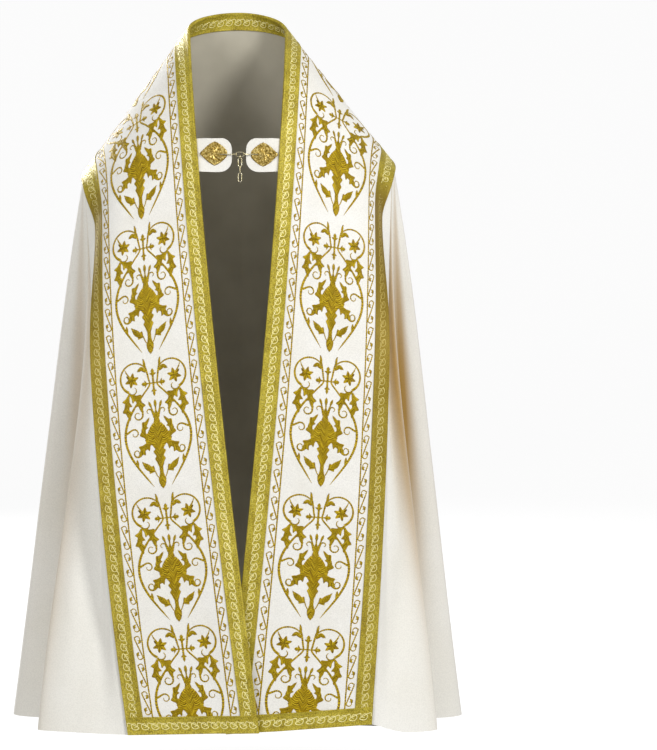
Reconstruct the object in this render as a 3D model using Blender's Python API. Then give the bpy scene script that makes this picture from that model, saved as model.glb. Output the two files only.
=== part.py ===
"""Cope vestment on its wearer's shoulders, as closed solids. Metres, +Z up, the front faces -Y.

The origin lies midway between the two sides of the neck, where the shoulders start to carry the
cloth. Left and right are as seen from the front.

The cloth is one surface, worked out in the cloth's own measures: s runs along the straight edge
from the centre back, round the neck and down the front, and t runs across the orphrey band. Below
the band the cloth hangs in a skirt, whose folds fan out from the corner where the shoulder's crest
meets the band. Every trimming is made from points of the same surface, moved out along its normal.
"""

import functools
import math

import bmesh
import bpy
import numpy as np

# The cut, along the straight edge (s) and across the band (t).
BAND_WIDTH = 0.255
GALLOON_WIDTH = 0.033
TUCK_DEPTH = 0.008  # the orphrey stops this far short of the band's edge, so that the hood tucks in
EDGE_HALF = 1.535  # centre back to front hem
NECK_HALF = 0.145  # centre back to side of neck
CREST_RUN = 0.288  # side of neck to shoulder corner, measured along the edge
CORNER_S = NECK_HALF + CREST_RUN
FAN_HALF = 0.045  # the folds spring from this much of the band's edge, each side of the corner

# Thickness of each layer, and the gap that parts neighbours.
CLOTH_WALL = 0.002
ORPHREY_WALL = 0.0012
TRIM_WALL = 0.0009
LAYER_GAP = 0.0003
ORPHREY_LIFT = LAYER_GAP
GALLOON_LIFT = ORPHREY_LIFT + ORPHREY_WALL + LAYER_GAP
HEM_LIFT = GALLOON_LIFT + TRIM_WALL + LAYER_GAP

# The shoulders that the cloth lies on. "out" is the distance from the middle plane.
SHOULDERS = {
    "left": dict(sign=-1, neck_out=0.0985, neck_z=0.0, corner_out=0.308, corner_z=-0.300,
                 inner_drift=0.088, outer_drift=0.070, underlap=-1),
    "right": dict(sign=1, neck_out=0.093, neck_z=-0.004, corner_out=0.306, corner_z=-0.280,
                  inner_drift=0.0755, outer_drift=0.035, underlap=1),
}
# How the rows of the front run from the crest: at the neck edge and at the band's outer edge.
ROW_SHAPE = {
    "inner": dict(depth=0.160, reach=0.200, drop=0.045, drop_reach=0.110, lean=0.030),
    "outer": dict(depth=0.145, reach=0.150, drop=0.050, drop_reach=0.110, lean=0.040),
}
CORNER_TURN = 0.016  # the band's outer edge turns in by this much just below the corner
CORNER_TURN_REACH = 0.08
ARM_ROLL = math.radians(52)  # the outer galloon rolls back round the upper arm
ARM_ROLL_WIDTH = 0.045
ARM_ROLL_TOP, ARM_ROLL_PEAK, ARM_ROLL_END = 0.0, 0.13, 0.50
CENTRE_BACK = dict(top_y=0.070, top_z=0.046, low_y=0.135, low_z=-0.204)
OVERLAP_STEP = 0.006  # where the fronts cross, each is moved this far from the other
OVERLAP_TOP, OVERLAP_FULL = -0.93, -1.10
OVERLAP_NEAR, OVERLAP_FAR = 0.03, 0.09  # the step fades out between these distances from the edge

HEM_Z = -1.350
# The hem from the band round to the centre back. "top" is where that line of the skirt leaves the
# band's edge, in metres from the shoulder corner (front positive). "bow" moves its upper third out.
HEM_COLUMNS = ("fold", "top", "out", "y", "bow")
HEM_FOLDS = {
    "left": (
        ("front panel", 0.036, 0.300, -0.176, -0.014),
        ("front corner", 0.028, 0.374, -0.138, -0.026),
        ("front valley", 0.015, 0.125, -0.072, 0.000),
        ("side front", 0.005, 0.396, -0.022, 0.002),
        ("side", -0.002, 0.447, 0.032, 0.006),
        ("side back", -0.012, 0.398, 0.088, 0.004),
        ("back valley", -0.022, 0.130, 0.112, 0.000),
        ("back corner", -0.045, 0.312, 0.196, -0.006),
        ("back quarter", -0.210, 0.165, 0.234, 0.000),
    ),
    "right": (
        ("front panel", 0.036, 0.312, -0.172, -0.010),
        ("front corner", 0.028, 0.367, -0.132, -0.018),
        ("front valley", 0.015, 0.118, -0.078, 0.000),
        ("side front", 0.005, 0.388, -0.030, 0.000),
        ("side", -0.002, 0.441, 0.024, 0.008),
        ("side back", -0.012, 0.390, 0.082, 0.006),
        ("back valley", -0.022, 0.124, 0.104, 0.000),
        ("back corner", -0.045, 0.304, 0.192, -0.004),
        ("back quarter", -0.210, 0.160, 0.236, 0.000),
    ),
}
CENTRE_BACK_HEM_Y = 0.242
COLUMNS_PER_FOLD = 3
COLUMNS_PER_BACK_QUARTER = 7
SKIRT_ROWS = 10
NECK_GALLOON_PAST = 0.012  # the galloon inside the collar runs this far down each front
ROUNDING = 1e-9  # stations that should be equal differ by less than this

# The hood, a shield of cloth on the back.
HOOD_HALF = 0.246
HOOD_DROP = 0.452
HOOD_CORNER = 0.120
HOOD_WALL = 0.0009
TUCK_LIFT = 0.0007
HOOD_LIFT = 0.0014
HOOD_LIFT_REACH = 0.020  # it comes off the back this far below the band
HOOD_FLARE = 0.0020  # how much further off the back its foot hangs
HOOD_EDGE_GALLOON = 0.016
HOOD_CLEAR = 0.004  # the hood's rows and columns keep this far from each other
NORMAL_STEP = 0.012  # the back's facets are evened out over this distance
FRINGE_ROOT = 0.004
FRINGE_SIDE, FRINGE_BOTTOM = 0.044, 0.040
FRINGE_STRANDS = 100
FRINGE_GAP = 0.0015
FRINGE_THICK = 0.0016
FRINGE_OUT, FRINGE_DOWN = 0.72, 0.70  # how a side strand leans out and hangs down
FRINGE_TAPER = 0.55

# The clasp.
CLASP_Z = -0.262
TAB_HEIGHT = 0.064
TAB_WALL = 0.0016
TAB_ROOT = (0.026, 0.010)  # how far behind the band's edge the sewn end lies
TAB_FREE = {0.30: 1.0, 0.62: 1.0, 0.88: 0.94, 1.0: 0.72}  # its height, along the way to its end
TAB_SETTLE = 0.30  # share of that way in which it comes forward to the clasp
CLASP_GAP = 0.027
CLASP_FORWARD = 0.001
PLATE_LONG, PLATE_TALL, PLATE_WALL = 0.0515, 0.046, 0.0024
PLATE_CENTRE = 0.0480  # from the middle plane to each plate's centre
PLATE_RISE = {"left": 0.002, "right": 0.0}
PLATE_POINT = 0.30  # the outer point's height and its half angle, then the three soft lobes
PLATE_POINT_ANGLE = 0.33
PLATE_LOBES = 0.05
PLATE_BODY = 0.86
PLATE_OFFSET = 0.0018
RING_X, RING_LONG, RING_TALL, RING_WIRE = 0.002, 0.018, 0.010, 0.0010
HOOK_WIRE, HOOK_END = 0.0009, 0.036
HOOK_NECK, HOOK_RISE = 0.003, 0.006  # where its bar ends and starts to bend round the ring
CHAIN_LINKS = (0.0095, 0.0190, 0.0180, 0.0190)  # a small jump link, then three long ones
CHAIN_WIDE, CHAIN_WIRE, CHAIN_PLAY = 0.0085, 0.0010, 0.0003


def clear_scene():
    for obj in list(bpy.data.objects):
        bpy.data.objects.remove(obj)


def make_material(name, colour, roughness, metallic=0.0):
    material = bpy.data.materials.new(name)
    material.use_nodes = True
    shader = material.node_tree.nodes["Principled BSDF"]
    shader.inputs["Base Color"].default_value = (*colour, 1.0)
    shader.inputs["Roughness"].default_value = roughness
    shader.inputs["Metallic"].default_value = metallic
    return material


def blend(start, end, share):
    return start + (end - start) * share


def smooth(start, end, x):
    """0 before start, 1 after end, and an S curve between."""
    share = np.clip((x - start) / (end - start), 0.0, 1.0)
    return share * share * (3.0 - 2.0 * share)


def crest_s(t):
    """Where, along the edge, the shoulder's crest crosses the band's line t."""
    return NECK_HALF + CREST_RUN * t / BAND_WIDTH


def crest_point(shoulder, t):
    share = t / BAND_WIDTH
    out = blend(shoulder["neck_out"], shoulder["corner_out"], share)
    z = blend(shoulder["neck_z"], shoulder["corner_z"], share)
    return np.stack([out, np.zeros_like(out), z], axis=-1)


def front_rows(shoulder, d, t):
    """Offset from the crest of a point d metres down its row, as (out, y, z)."""
    share = t / BAND_WIDTH
    shapes = []
    for name in ("inner", "outer"):
        row = ROW_SHAPE[name]
        forward = row["depth"] * (1 - np.exp(-d / row["reach"])) + row["lean"] * d
        down = d - row["drop"] * (1 - np.exp(-d / row["drop_reach"]))
        if name == "inner":
            inward = shoulder["inner_drift"] * np.maximum(d, 0) ** 1.3
        else:
            turn = CORNER_TURN * (1 - np.exp(-d / CORNER_TURN_REACH))
            inward = turn + shoulder["outer_drift"] * d**2
        shapes.append(np.stack([-inward, -forward, -down], axis=-1))
    offset = blend(shapes[0], shapes[1], share[..., None])
    angle = ARM_ROLL * smooth(ARM_ROLL_TOP, ARM_ROLL_PEAK, d)
    angle = angle * (1 - smooth(ARM_ROLL_PEAK, ARM_ROLL_END, d))
    rolled = np.maximum(t - (BAND_WIDTH - 2 * ARM_ROLL_WIDTH), 0) / (2 * ARM_ROLL_WIDTH)
    bent = angle * rolled
    offset[..., 0] -= (1 - np.cos(bent)) * rolled * ARM_ROLL_WIDTH
    offset[..., 1] += np.sin(bent) * rolled * ARM_ROLL_WIDTH
    return offset


def crest_tangent(shoulder, t):
    """Unit direction in which a row crosses the crest, from the back to the front."""
    step = 1e-4
    rows = front_rows(shoulder, np.full_like(t, step), t) - front_rows(shoulder, np.zeros_like(t), t)
    return rows / np.linalg.norm(rows, axis=-1, keepdims=True)


def back_rows(shoulder, s, t):
    """A row behind the crest: a cubic curve from the centre back, level there, to the crest."""
    share = t / BAND_WIDTH
    length = crest_s(t)
    u = (s / length)[..., None]
    middle = CENTRE_BACK
    start = np.stack([
        np.zeros_like(share),
        blend(middle["top_y"], middle["low_y"], share),
        blend(middle["top_z"], middle["low_z"], share),
    ], axis=-1)
    end = crest_point(shoulder, t)
    reach = (length / 3)[..., None]
    first = start + reach * np.array([1.0, 0.0, 0.0])
    last = end - reach * crest_tangent(shoulder, t)
    return ((1 - u) ** 3 * start + 3 * (1 - u) ** 2 * u * first
            + 3 * (1 - u) * u**2 * last + u**3 * end)


def band_point(side, s, t):
    """The cloth's outer face on the band, at s along the edge and t across."""
    shoulder = SHOULDERS[side]
    s, t = np.broadcast_arrays(np.asarray(s, float), np.asarray(t, float))
    past = s - crest_s(t)
    front = crest_point(shoulder, t) + front_rows(shoulder, np.maximum(past, 0), t)
    inside = 1 - smooth(OVERLAP_NEAR, OVERLAP_FAR, t)
    crossing = 1 - smooth(OVERLAP_FULL, OVERLAP_TOP, front[..., 2])
    front[..., 1] += shoulder["underlap"] * OVERLAP_STEP * crossing * inside
    back = back_rows(shoulder, np.minimum(s, crest_s(t)), t)
    points = np.where((past > 0)[..., None], front, back)
    return points * np.array([shoulder["sign"], 1.0, 1.0])


def through(rows, counts):
    """A smooth curve through the rows of an array (Catmull-Rom), each interval cut evenly."""
    ends = np.vstack([2 * rows[0] - rows[1], rows, 2 * rows[-1] - rows[-2]])
    pieces = []
    for i, count in enumerate(counts):
        u = (np.arange(count) / count)[:, None]
        before, start, end, after = ends[i:i + 4]
        pieces.append(start + 0.5 * u * (end - before + u * (
            2 * before - 5 * start + 4 * end - after + u * (3 * (start - end) + after - before))))
    return np.vstack([*pieces, rows[-1:]])


def hem_stations():
    """Fractions of the way down the skirt, closer near the shoulder, with one at the hem galloon."""
    length = EDGE_HALF - CORNER_S - FAN_HALF
    above = np.linspace(0, 1, SKIRT_ROWS) ** 1.25 * (1 - GALLOON_WIDTH / length)
    return np.append(above, 1.0)


@functools.cache
def skirt(side):
    """Columns of the skirt from the band's outer edge round to the centre back, as an array
    (column, row, xyz), and where each column's top lies along the band's edge."""
    sign = SHOULDERS[side]["sign"]
    v = hem_stations()
    edge_s = CORNER_S + FAN_HALF + v * (EDGE_HALF - CORNER_S - FAN_HALF)
    edge = band_point(side, edge_s, BAND_WIDTH)
    folds = [dict(zip(HEM_COLUMNS, row)) for row in HEM_FOLDS[side]]
    rows = [[abs(edge[-1, 0]), edge[-1, 1], edge[-1, 2], 0.0]]
    rows += [[fold["out"], fold["y"], HEM_Z, fold["bow"]] for fold in folds]
    rows.append([0.0, CENTRE_BACK_HEM_Y, HEM_Z, 0.0])
    tops = [FAN_HALF, *(fold["top"] for fold in folds), -CORNER_S]
    counts = [COLUMNS_PER_FOLD] * (len(rows) - 3) + [COLUMNS_PER_BACK_QUARTER] * 2
    path = through(np.array(rows), counts)
    path[-1, 0] = 0.0
    station = np.concatenate([i + np.arange(n) / n for i, n in enumerate(counts)])
    top_s = CORNER_S + np.interp(np.append(station, len(counts)), np.arange(len(rows)), tops)
    top = band_point(side, top_s, BAND_WIDTH)
    hem = path[:, :3] * np.array([sign, 1.0, 1.0])
    columns = top[:, None] + (hem - top)[:, None] * v[None, :, None]
    columns[..., 0] += sign * path[:, 3:] * 27 / 4 * v * (1 - v) ** 2
    columns[0] = edge
    return columns, top_s


def grid_faces(index, flip=False):
    """Triangles over a 2-D array of vertex numbers, each square cut along the same diagonal."""
    a, b, c, d = index[:-1, :-1], index[1:, :-1], index[1:, 1:], index[:-1, 1:]
    faces = np.stack([a, b, c, a, c, d], axis=-1).reshape(-1, 3)
    return faces[:, ::-1] if flip else faces


def vertex_normals(points, faces):
    corners = points[faces]
    normal = np.cross(corners[:, 1] - corners[:, 0], corners[:, 2] - corners[:, 0])
    total = np.zeros_like(points)
    for k in range(3):
        np.add.at(total, faces[:, k], normal)
    return total / np.linalg.norm(total, axis=1, keepdims=True)


def make_object(name, points, faces, material):
    mesh = bpy.data.meshes.new(name)
    mesh.from_pydata(points.tolist(), [], [list(map(int, face)) for face in faces])
    mesh.materials.append(material)
    mesh.validate()
    bm = bmesh.new()
    bm.from_mesh(mesh)
    bmesh.ops.recalc_face_normals(bm, faces=bm.faces)
    bm.to_mesh(mesh)
    bm.free()
    mesh.shade_smooth()
    mesh.set_sharp_from_angle(angle=math.radians(40))
    obj = bpy.data.objects.new(name, mesh)
    bpy.context.scene.collection.objects.link(obj)
    return obj


def wall(name, points, faces, normals, low, high, material):
    """A closed wall between the heights low and high over a surface, with its sides."""
    count = len(points)
    low = np.broadcast_to(low, count)[:, None]
    high = np.broadcast_to(high, count)[:, None]
    both = np.vstack([points + normals * high, points + normals * low])
    ends = np.concatenate([faces[:, [k, (k + 1) % 3]] for k in range(3)])
    known = set(map(tuple, ends.tolist()))
    rim = [(a, b) for a, b in ends.tolist() if (b, a) not in known]
    sides = [(b, a, a + count, b + count) for a, b in rim]
    return make_object(name, both, [*faces, *(faces[:, ::-1] + count), *sides], material)


def patch(name, points, normals, low, high, material):
    """A wall over a rectangular grid of points of the cloth's surface."""
    faces = grid_faces(np.arange(points[..., 0].size).reshape(points.shape[:2]))
    return wall(name, points.reshape(-1, 3), faces, normals.reshape(-1, 3),
                np.ravel(low), np.ravel(high), material)


def band_normal(side, s, t):
    """The cloth's outward normal on the band."""
    step = 1e-4
    s, t = np.broadcast_arrays(np.asarray(s, float), np.asarray(t, float))
    along = band_point(side, s + step, t) - band_point(side, np.maximum(s - step, 0), t)
    across = band_point(side, s, t + step) - band_point(side, s, t - step)
    normal = np.cross(along, across) * SHOULDERS[side]["sign"]
    return normal / np.linalg.norm(normal, axis=-1, keepdims=True)


def band_stations(side):
    """Stations along the edge that the skirt's columns and rows share with the band."""
    _, top_s = skirt(side)
    length = EDGE_HALF - CORNER_S - FAN_HALF
    return np.concatenate([top_s[::-1], CORNER_S + FAN_HALF + hem_stations()[1:] * length])


ACROSS = np.array([0.0, GALLOON_WIDTH, 0.0965, 0.1585, BAND_WIDTH - GALLOON_WIDTH,
                   BAND_WIDTH - TUCK_DEPTH, BAND_WIDTH])


def band_patch(name, side, stations, across, lift, thickness, material):
    s, t = np.meshgrid(stations, across, indexing="ij")
    return patch(name, band_point(side, s, t), band_normal(side, s, t), lift, lift + thickness,
                 material)


def make_cope_cloth(material):
    points, faces = [], []
    count = 0
    for side in SHOULDERS:
        s, t = np.meshgrid(band_stations(side), ACROSS, indexing="ij")
        columns, _ = skirt(side)
        for grid, flip in ((band_point(side, s, t), side == "left"), (columns, side == "right")):
            index = count + np.arange(grid[..., 0].size).reshape(grid.shape[:2])
            faces.append(grid_faces(index, flip))
            points.append(grid.reshape(-1, 3))
            count += len(points[-1])
    points = np.vstack(points)
    _, first, same = np.unique(np.round(points, 6), axis=0, return_index=True,
                               return_inverse=True)
    points = points[first]
    faces = same.reshape(-1)[np.vstack(faces)]
    return wall("cope_cloth", points, faces, vertex_normals(points, faces), -CLOTH_WALL, 0.0,
                material)


def make_band(side, materials):
    stations = band_stations(side)
    band_patch(f"orphrey_{side}", side, stations, ACROSS[:-1], ORPHREY_LIFT, ORPHREY_WALL,
               materials["embroidery"])
    band_patch(f"galloon_front_{side}", side, stations, ACROSS[:2], GALLOON_LIFT, TRIM_WALL,
               materials["galloon"])
    band_patch(f"galloon_outer_{side}", side, stations, ACROSS[-3:], GALLOON_LIFT, TRIM_WALL,
               materials["galloon"])
    band_patch(f"galloon_hem_{side}", side, stations[-2:], ACROSS, HEM_LIFT, TRIM_WALL,
               materials["galloon"])


def make_centre_galloon(material):
    """The galloon that covers the join of the two orphreys, between the neck and outer galloons."""
    reach = np.array([1.0, 0.6, 0.2]) * GALLOON_WIDTH / 2
    across = ACROSS[(ACROSS >= GALLOON_WIDTH) & (ACROSS <= BAND_WIDTH - GALLOON_WIDTH)]
    across = np.array([across[0] + LAYER_GAP, *across[1:-1], across[-1] - LAYER_GAP])
    s, t = np.meshgrid(reach, across, indexing="ij")
    halves = []
    for side, order in (("left", slice(None)), ("right", slice(None, None, -1))):
        points, normals = band_point(side, s, t), band_normal(side, s, t)
        halves.append((points[order], normals[order]))
    points = np.concatenate([halves[0][0], halves[1][0]])
    normals = np.concatenate([halves[0][1], halves[1][1]])
    patch("galloon_centre_back", points, normals, GALLOON_LIFT, GALLOON_LIFT + TRIM_WALL,
          material)


def make_neck_galloon(material):
    """The galloon sewn inside the collar, from one side of the neck round to the other."""
    end = NECK_HALF + NECK_GALLOON_PAST
    s_left = band_stations("left")
    s_left = s_left[s_left <= end]
    s_right = band_stations("right")
    s_right = s_right[(s_right <= end) & (s_right > 0)]
    rows = []
    for side, stations in (("left", s_left[::-1]), ("right", s_right)):
        s, t = np.meshgrid(stations, ACROSS[:2], indexing="ij")
        rows.append((band_point(side, s, t), band_normal(side, s, t)))
    points = np.concatenate([rows[0][0], rows[1][0]])
    normals = np.concatenate([rows[0][1], rows[1][1]])
    top = -CLOTH_WALL - LAYER_GAP
    patch("galloon_neck_inside", points, normals, top - TRIM_WALL, top, material)


@functools.cache
def back_line(q):
    """The back of the cope at q metres down from the band's lower edge, or up it where q is
    negative: points from left to right."""
    halves = []
    for side in SHOULDERS:
        columns, top_s = skirt(side)
        behind = top_s <= CORNER_S - FAN_HALF + ROUNDING
        if q < 0:
            points = band_point(side, top_s[behind], BAND_WIDTH + q)
        else:
            top, hem = columns[behind, 0], columns[behind, -1]
            points = top + (hem - top) * q / (CENTRE_BACK["low_z"] - HEM_Z)
        halves.append(points)
    return np.vstack([halves[0], halves[1][-2::-1]])


def back_point(x, q):
    """Points of the cope's back at x across and q down, for arrays of the same shape."""
    found = np.zeros((np.size(x), 3))
    for i, (across, down) in enumerate(zip(np.ravel(x), np.ravel(q))):
        line = back_line(down)
        found[i] = [np.interp(across, line[:, 0], line[:, k]) for k in range(3)]
    return found.reshape(*np.shape(x), 3)


def back_normal(x, q):
    """The outward normal of the back, evened out over a hand's breadth of its facets."""
    across = back_point(x + NORMAL_STEP, q) - back_point(x - NORMAL_STEP, q)
    down = back_point(x, q + NORMAL_STEP) - back_point(x, q - NORMAL_STEP)
    normal = np.cross(across, down)
    normal *= np.sign(normal[..., 1:2])
    return normal / np.linalg.norm(normal, axis=-1, keepdims=True)


def hood_lift(q):
    near = blend(TUCK_LIFT, HOOD_LIFT, np.clip(q / HOOD_LIFT_REACH, 0, 1))
    return near + HOOD_FLARE * np.clip(q / HOOD_DROP, 0, 1)


def hood_half(q):
    """Half the hood's width at q down: straight sides, then a quarter round to the flat foot."""
    into = np.clip(q - (HOOD_DROP - HOOD_CORNER), 0, HOOD_CORNER)
    return HOOD_HALF - HOOD_CORNER + np.sqrt(HOOD_CORNER**2 - into**2)


HOOD_SIDE = HOOD_DROP - HOOD_CORNER
HOOD_FOOT = HOOD_HALF - HOOD_CORNER
HOOD_ARC = HOOD_CORNER * math.pi / 2


def hood_outline(inset, along):
    """The hood's edge, moved in by inset, from its top left round to its top right. "along" holds
    the distances down one side, round the corner and to the middle of the foot. The result's
    columns are x, q, and the direction that faces out, as x and q."""
    turn = np.clip((along - HOOD_SIDE) / HOOD_CORNER, 0, math.pi / 2)
    on_foot = np.clip(along - HOOD_SIDE - HOOD_ARC, 0, HOOD_FOOT)
    x = HOOD_FOOT - on_foot + (HOOD_CORNER - inset) * np.cos(turn)
    q = np.minimum(along, HOOD_SIDE) + (HOOD_CORNER - inset) * np.sin(turn)
    out = np.stack([np.cos(turn), np.sin(turn)], axis=-1)
    left = np.stack([-x, q, -out[:, 0], out[:, 1]], axis=-1)
    right = np.stack([x, q, out[:, 0], out[:, 1]], axis=-1)
    return np.vstack([left, right[-2::-1]])


def hood_patch(name, x, q, low, high, material):
    """A wall on the hood, over arrays of x and q, low and high above the hood's underside."""
    lift = hood_lift(q)
    return patch(name, back_point(x, q), back_normal(x, q), lift + low, lift + high, material)


def make_hood(materials):
    foot = HOOD_DROP - HOOD_EDGE_GALLOON
    turn = np.linspace(0, math.pi / 2, 5)
    rows = np.concatenate([
        [-TUCK_DEPTH + LAYER_GAP, 0.0, HOOD_LIFT_REACH],
        np.linspace(0, HOOD_SIDE, 7)[1:],
        HOOD_SIDE + HOOD_CORNER * np.sin(turn[1:]),
    ])
    half = BAND_WIDTH / 2
    inner = half - GALLOON_WIDTH
    # Outside the band the hood's columns start on those of the back, so that neither cuts a
    # corner off the other. They draw in round the hood's corners, and the middle ones stay upright.
    behind = back_line(0.0)[:, 0]
    edging = HOOD_HALF - HOOD_EDGE_GALLOON
    fixed = np.array([-HOOD_HALF, -edging, -half, -inner, inner, half, edging, HOOD_HALF])
    clear = np.abs(behind[:, None] - fixed).min(axis=1) > HOOD_CLEAR
    top_x = np.sort(np.concatenate([fixed, behind[clear & (abs(behind) < edging)]]))
    on_band = top_x[abs(top_x) <= half]
    q, top_x = np.meshgrid(rows, top_x, indexing="ij")
    drawn = np.clip((abs(top_x) - half) / (HOOD_HALF - half), 0, 1)
    x = np.sign(top_x) * (np.minimum(abs(top_x), half) + drawn * (hood_half(q) - half))
    hood_patch("hood_cloth", x, q, 0.0, HOOD_WALL, materials["cloth"])

    down = np.concatenate([rows[(rows >= 0) & (rows < foot - HOOD_CLEAR)], [foot - LAYER_GAP]])
    q, x = np.meshgrid(down, on_band, indexing="ij")
    base = HOOD_WALL + LAYER_GAP
    hood_patch("hood_orphrey", x, q, base, base + ORPHREY_WALL, materials["embroidery"])
    base += ORPHREY_WALL + LAYER_GAP
    for side, sign in (("left", -1), ("right", 1)):
        strip = np.sort(sign * np.array([inner, half]))
        q, x = np.meshgrid(down, strip, indexing="ij")
        hood_patch(f"hood_galloon_{side}", x, q, base, base + TRIM_WALL, materials["galloon"])

    along = np.concatenate([rows[1:-4], HOOD_SIDE + HOOD_CORNER * np.linspace(0, math.pi / 2, 9)[1:],
                            HOOD_SIDE + HOOD_ARC + np.linspace(0, HOOD_FOOT, 4)[1:]])
    outer = hood_outline(0.0, along)
    inset = hood_outline(HOOD_EDGE_GALLOON, along)
    x = np.stack([outer[:, 0], inset[:, 0]], axis=-1)
    q = np.stack([outer[:, 1], inset[:, 1]], axis=-1)
    base = HOOD_WALL + LAYER_GAP
    hood_patch("hood_galloon_edge", x, q, base, base + TRIM_WALL, materials["galloon"])


def make_fringe(material):
    """A narrow root strip just outside the hood's edge. Every other face of its outer side is
    drawn out into a strand, which falls down and out."""
    line = hood_outline(0.0, np.linspace(0, HOOD_SIDE + HOOD_ARC + HOOD_FOOT, FRINGE_STRANDS + 1))
    near = line[:, :2] + line[:, 2:] * FRINGE_GAP
    far = near + line[:, 2:] * FRINGE_ROOT
    x = np.stack([near[:, 0], far[:, 0]], axis=-1)
    q = np.stack([near[:, 1], far[:, 1]], axis=-1)
    normals = back_normal(x, q)
    inside = back_point(x, q) + normals * hood_lift(q)[..., None]
    outside = inside + normals * FRINGE_THICK
    rings = np.stack([inside[:, 0], inside[:, 1], outside[:, 1], outside[:, 0]], axis=1)
    points = list(rings.reshape(-1, 3))
    faces = [(0, 1, 2, 3), tuple(len(points) - 4 + k for k in (3, 2, 1, 0))]
    outward = inside[:, 1] - inside[:, 0]
    outward /= np.linalg.norm(outward, axis=1, keepdims=True)
    for i in range(len(rings) - 1):
        here, there = 4 * i, 4 * (i + 1)
        faces += [(here + k, here + (k + 1) % 4, there + (k + 1) % 4, there + k)
                  for k in (0, 2, 3)]
        root = (here + 1, here + 2, there + 2, there + 1)
        if i % 2:
            faces.append(root)
            continue
        share = abs(line[i, 3])
        length = blend(FRINGE_SIDE, FRINGE_BOTTOM, share)
        fall = outward[i] * FRINGE_OUT + np.array([0, 0, -FRINGE_DOWN]) * (1 - share)
        tip = length * fall / np.linalg.norm(fall)
        corners = np.array([points[k] for k in root])
        ends = corners.mean(axis=0) + (corners - corners.mean(axis=0)) * FRINGE_TAPER + tip
        first = len(points)
        points += list(ends)
        faces += [(root[k], root[(k + 1) % 4], first + (k + 1) % 4, first + k)
                  for k in range(4)]
        faces.append(tuple(first + k for k in range(4)))
    make_object("hood_fringe", np.array(points), faces, material)


def edge_point(side, z):
    """The front edge of the cloth at height z, and where it lies along the edge."""
    s = np.linspace(NECK_HALF, EDGE_HALF, 400)
    line = band_point(side, s, 0.0)
    found = np.interp(-z, -line[:, 2], s)
    return band_point(side, found, 0.0), found


def clasp_plane(side):
    """How far forward the free part of the clasp's tabs hangs."""
    return edge_point(side, CLASP_Z)[0][1] - CLASP_FORWARD


def make_tab(side, material):
    """A cloth tab sewn behind the front edge, which crosses to the gap at the middle."""
    sign = SHOULDERS[side]["sign"]
    plane = min(clasp_plane("left"), clasp_plane("right"))
    heights = np.linspace(-0.5, 0.5, 6) * TAB_HEIGHT
    across = [*(("sewn", t) for t in (*TAB_ROOT, 0.0)), *(("free", u) for u in TAB_FREE)]
    behind = -CLOTH_WALL - LAYER_GAP
    grid = np.zeros((len(heights), len(across), 3))
    for i, height in enumerate(heights):
        edge, s = edge_point(side, CLASP_Z + height)
        for j, (where, value) in enumerate(across):
            if where != "free":
                grid[i, j] = band_point(side, s, value) + band_normal(side, s, value) * behind
                continue
            z = CLASP_Z + height * TAB_FREE[value]
            start = edge + band_normal(side, s, 0.0) * behind
            grid[i, j] = [blend(start[0], sign * CLASP_GAP / 2, value),
                          blend(start[1], plane, min(1.0, value / TAB_SETTLE)), z]
    faces = grid_faces(np.arange(grid[..., 0].size).reshape(grid.shape[:2]))
    points = grid.reshape(-1, 3)
    normals = vertex_normals(points, faces)
    if normals[:, 1].mean() > 0:
        normals, faces = -normals, faces[:, ::-1]
    wall(f"morse_tab_{side}", points, faces, normals, -TAB_WALL, 0.0, material)


def solid_from_outline(name, outline, origin, thickness, material):
    """An outline in the XZ plane given as (x, z), made into a plate that grows towards -Y."""
    bm = bmesh.new()
    back = [bm.verts.new((origin[0] + x, origin[1], origin[2] + z)) for x, z in outline]
    bm.faces.new(back)
    grown = bmesh.ops.extrude_face_region(bm, geom=bm.faces[:])
    moved = [item for item in grown["geom"] if isinstance(item, bmesh.types.BMVert)]
    bmesh.ops.translate(bm, verts=moved, vec=(0, -thickness, 0))
    bmesh.ops.recalc_face_normals(bm, faces=bm.faces)
    mesh = bpy.data.meshes.new(name)
    bm.to_mesh(mesh)
    bm.free()
    mesh.materials.append(material)
    obj = bpy.data.objects.new(name, mesh)
    bpy.context.scene.collection.objects.link(obj)
    return obj


def spade_outline(sign):
    """A pointed ogee leaf: round shoulders by the middle, drawn to a point on the outer side."""
    angle = np.linspace(0, 2 * math.pi, 28, endpoint=False)
    near = np.minimum(angle, 2 * math.pi - angle)
    point = PLATE_POINT * np.exp(-(near / PLATE_POINT_ANGLE) ** 2)
    radius = PLATE_BODY + point + PLATE_LOBES * np.cos(3 * angle)
    x = radius * np.cos(angle)
    z = radius * np.sin(angle)
    x = sign * (x * PLATE_LONG / np.ptp(x) - PLATE_OFFSET)
    return list(zip(x, z * PLATE_TALL / np.ptp(z)))


def tube(name, path, radius, material, closed=False, sides=6):
    """A round wire along a path of points, closed on itself or with flat ends."""
    path = np.asarray(path, float)
    if closed:
        along = np.roll(path, -1, axis=0) - np.roll(path, 1, axis=0)
    else:
        along = np.gradient(path, axis=0)
    along /= np.linalg.norm(along, axis=1, keepdims=True)
    flat = np.linalg.svd(path - path.mean(axis=0))[2][2]
    across = np.cross(along, flat)
    across /= np.linalg.norm(across, axis=1, keepdims=True)
    angle = np.arange(sides) * 2 * math.pi / sides
    ring = (across[:, None] * np.cos(angle)[None, :, None]
            + flat[None, None] * np.sin(angle)[None, :, None]) * radius
    points = (path[:, None] + ring).reshape(-1, 3)
    count = len(path)
    faces = []
    for i in range(count if closed else count - 1):
        here, there = i * sides, (i + 1) % count * sides
        faces += [(here + k, here + (k + 1) % sides, there + (k + 1) % sides, there + k)
                  for k in range(sides)]
    if not closed:
        faces += [tuple(range(sides)), tuple(range((count - 1) * sides, count * sides))[::-1]]
    return make_object(name, points, faces, material)


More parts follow.
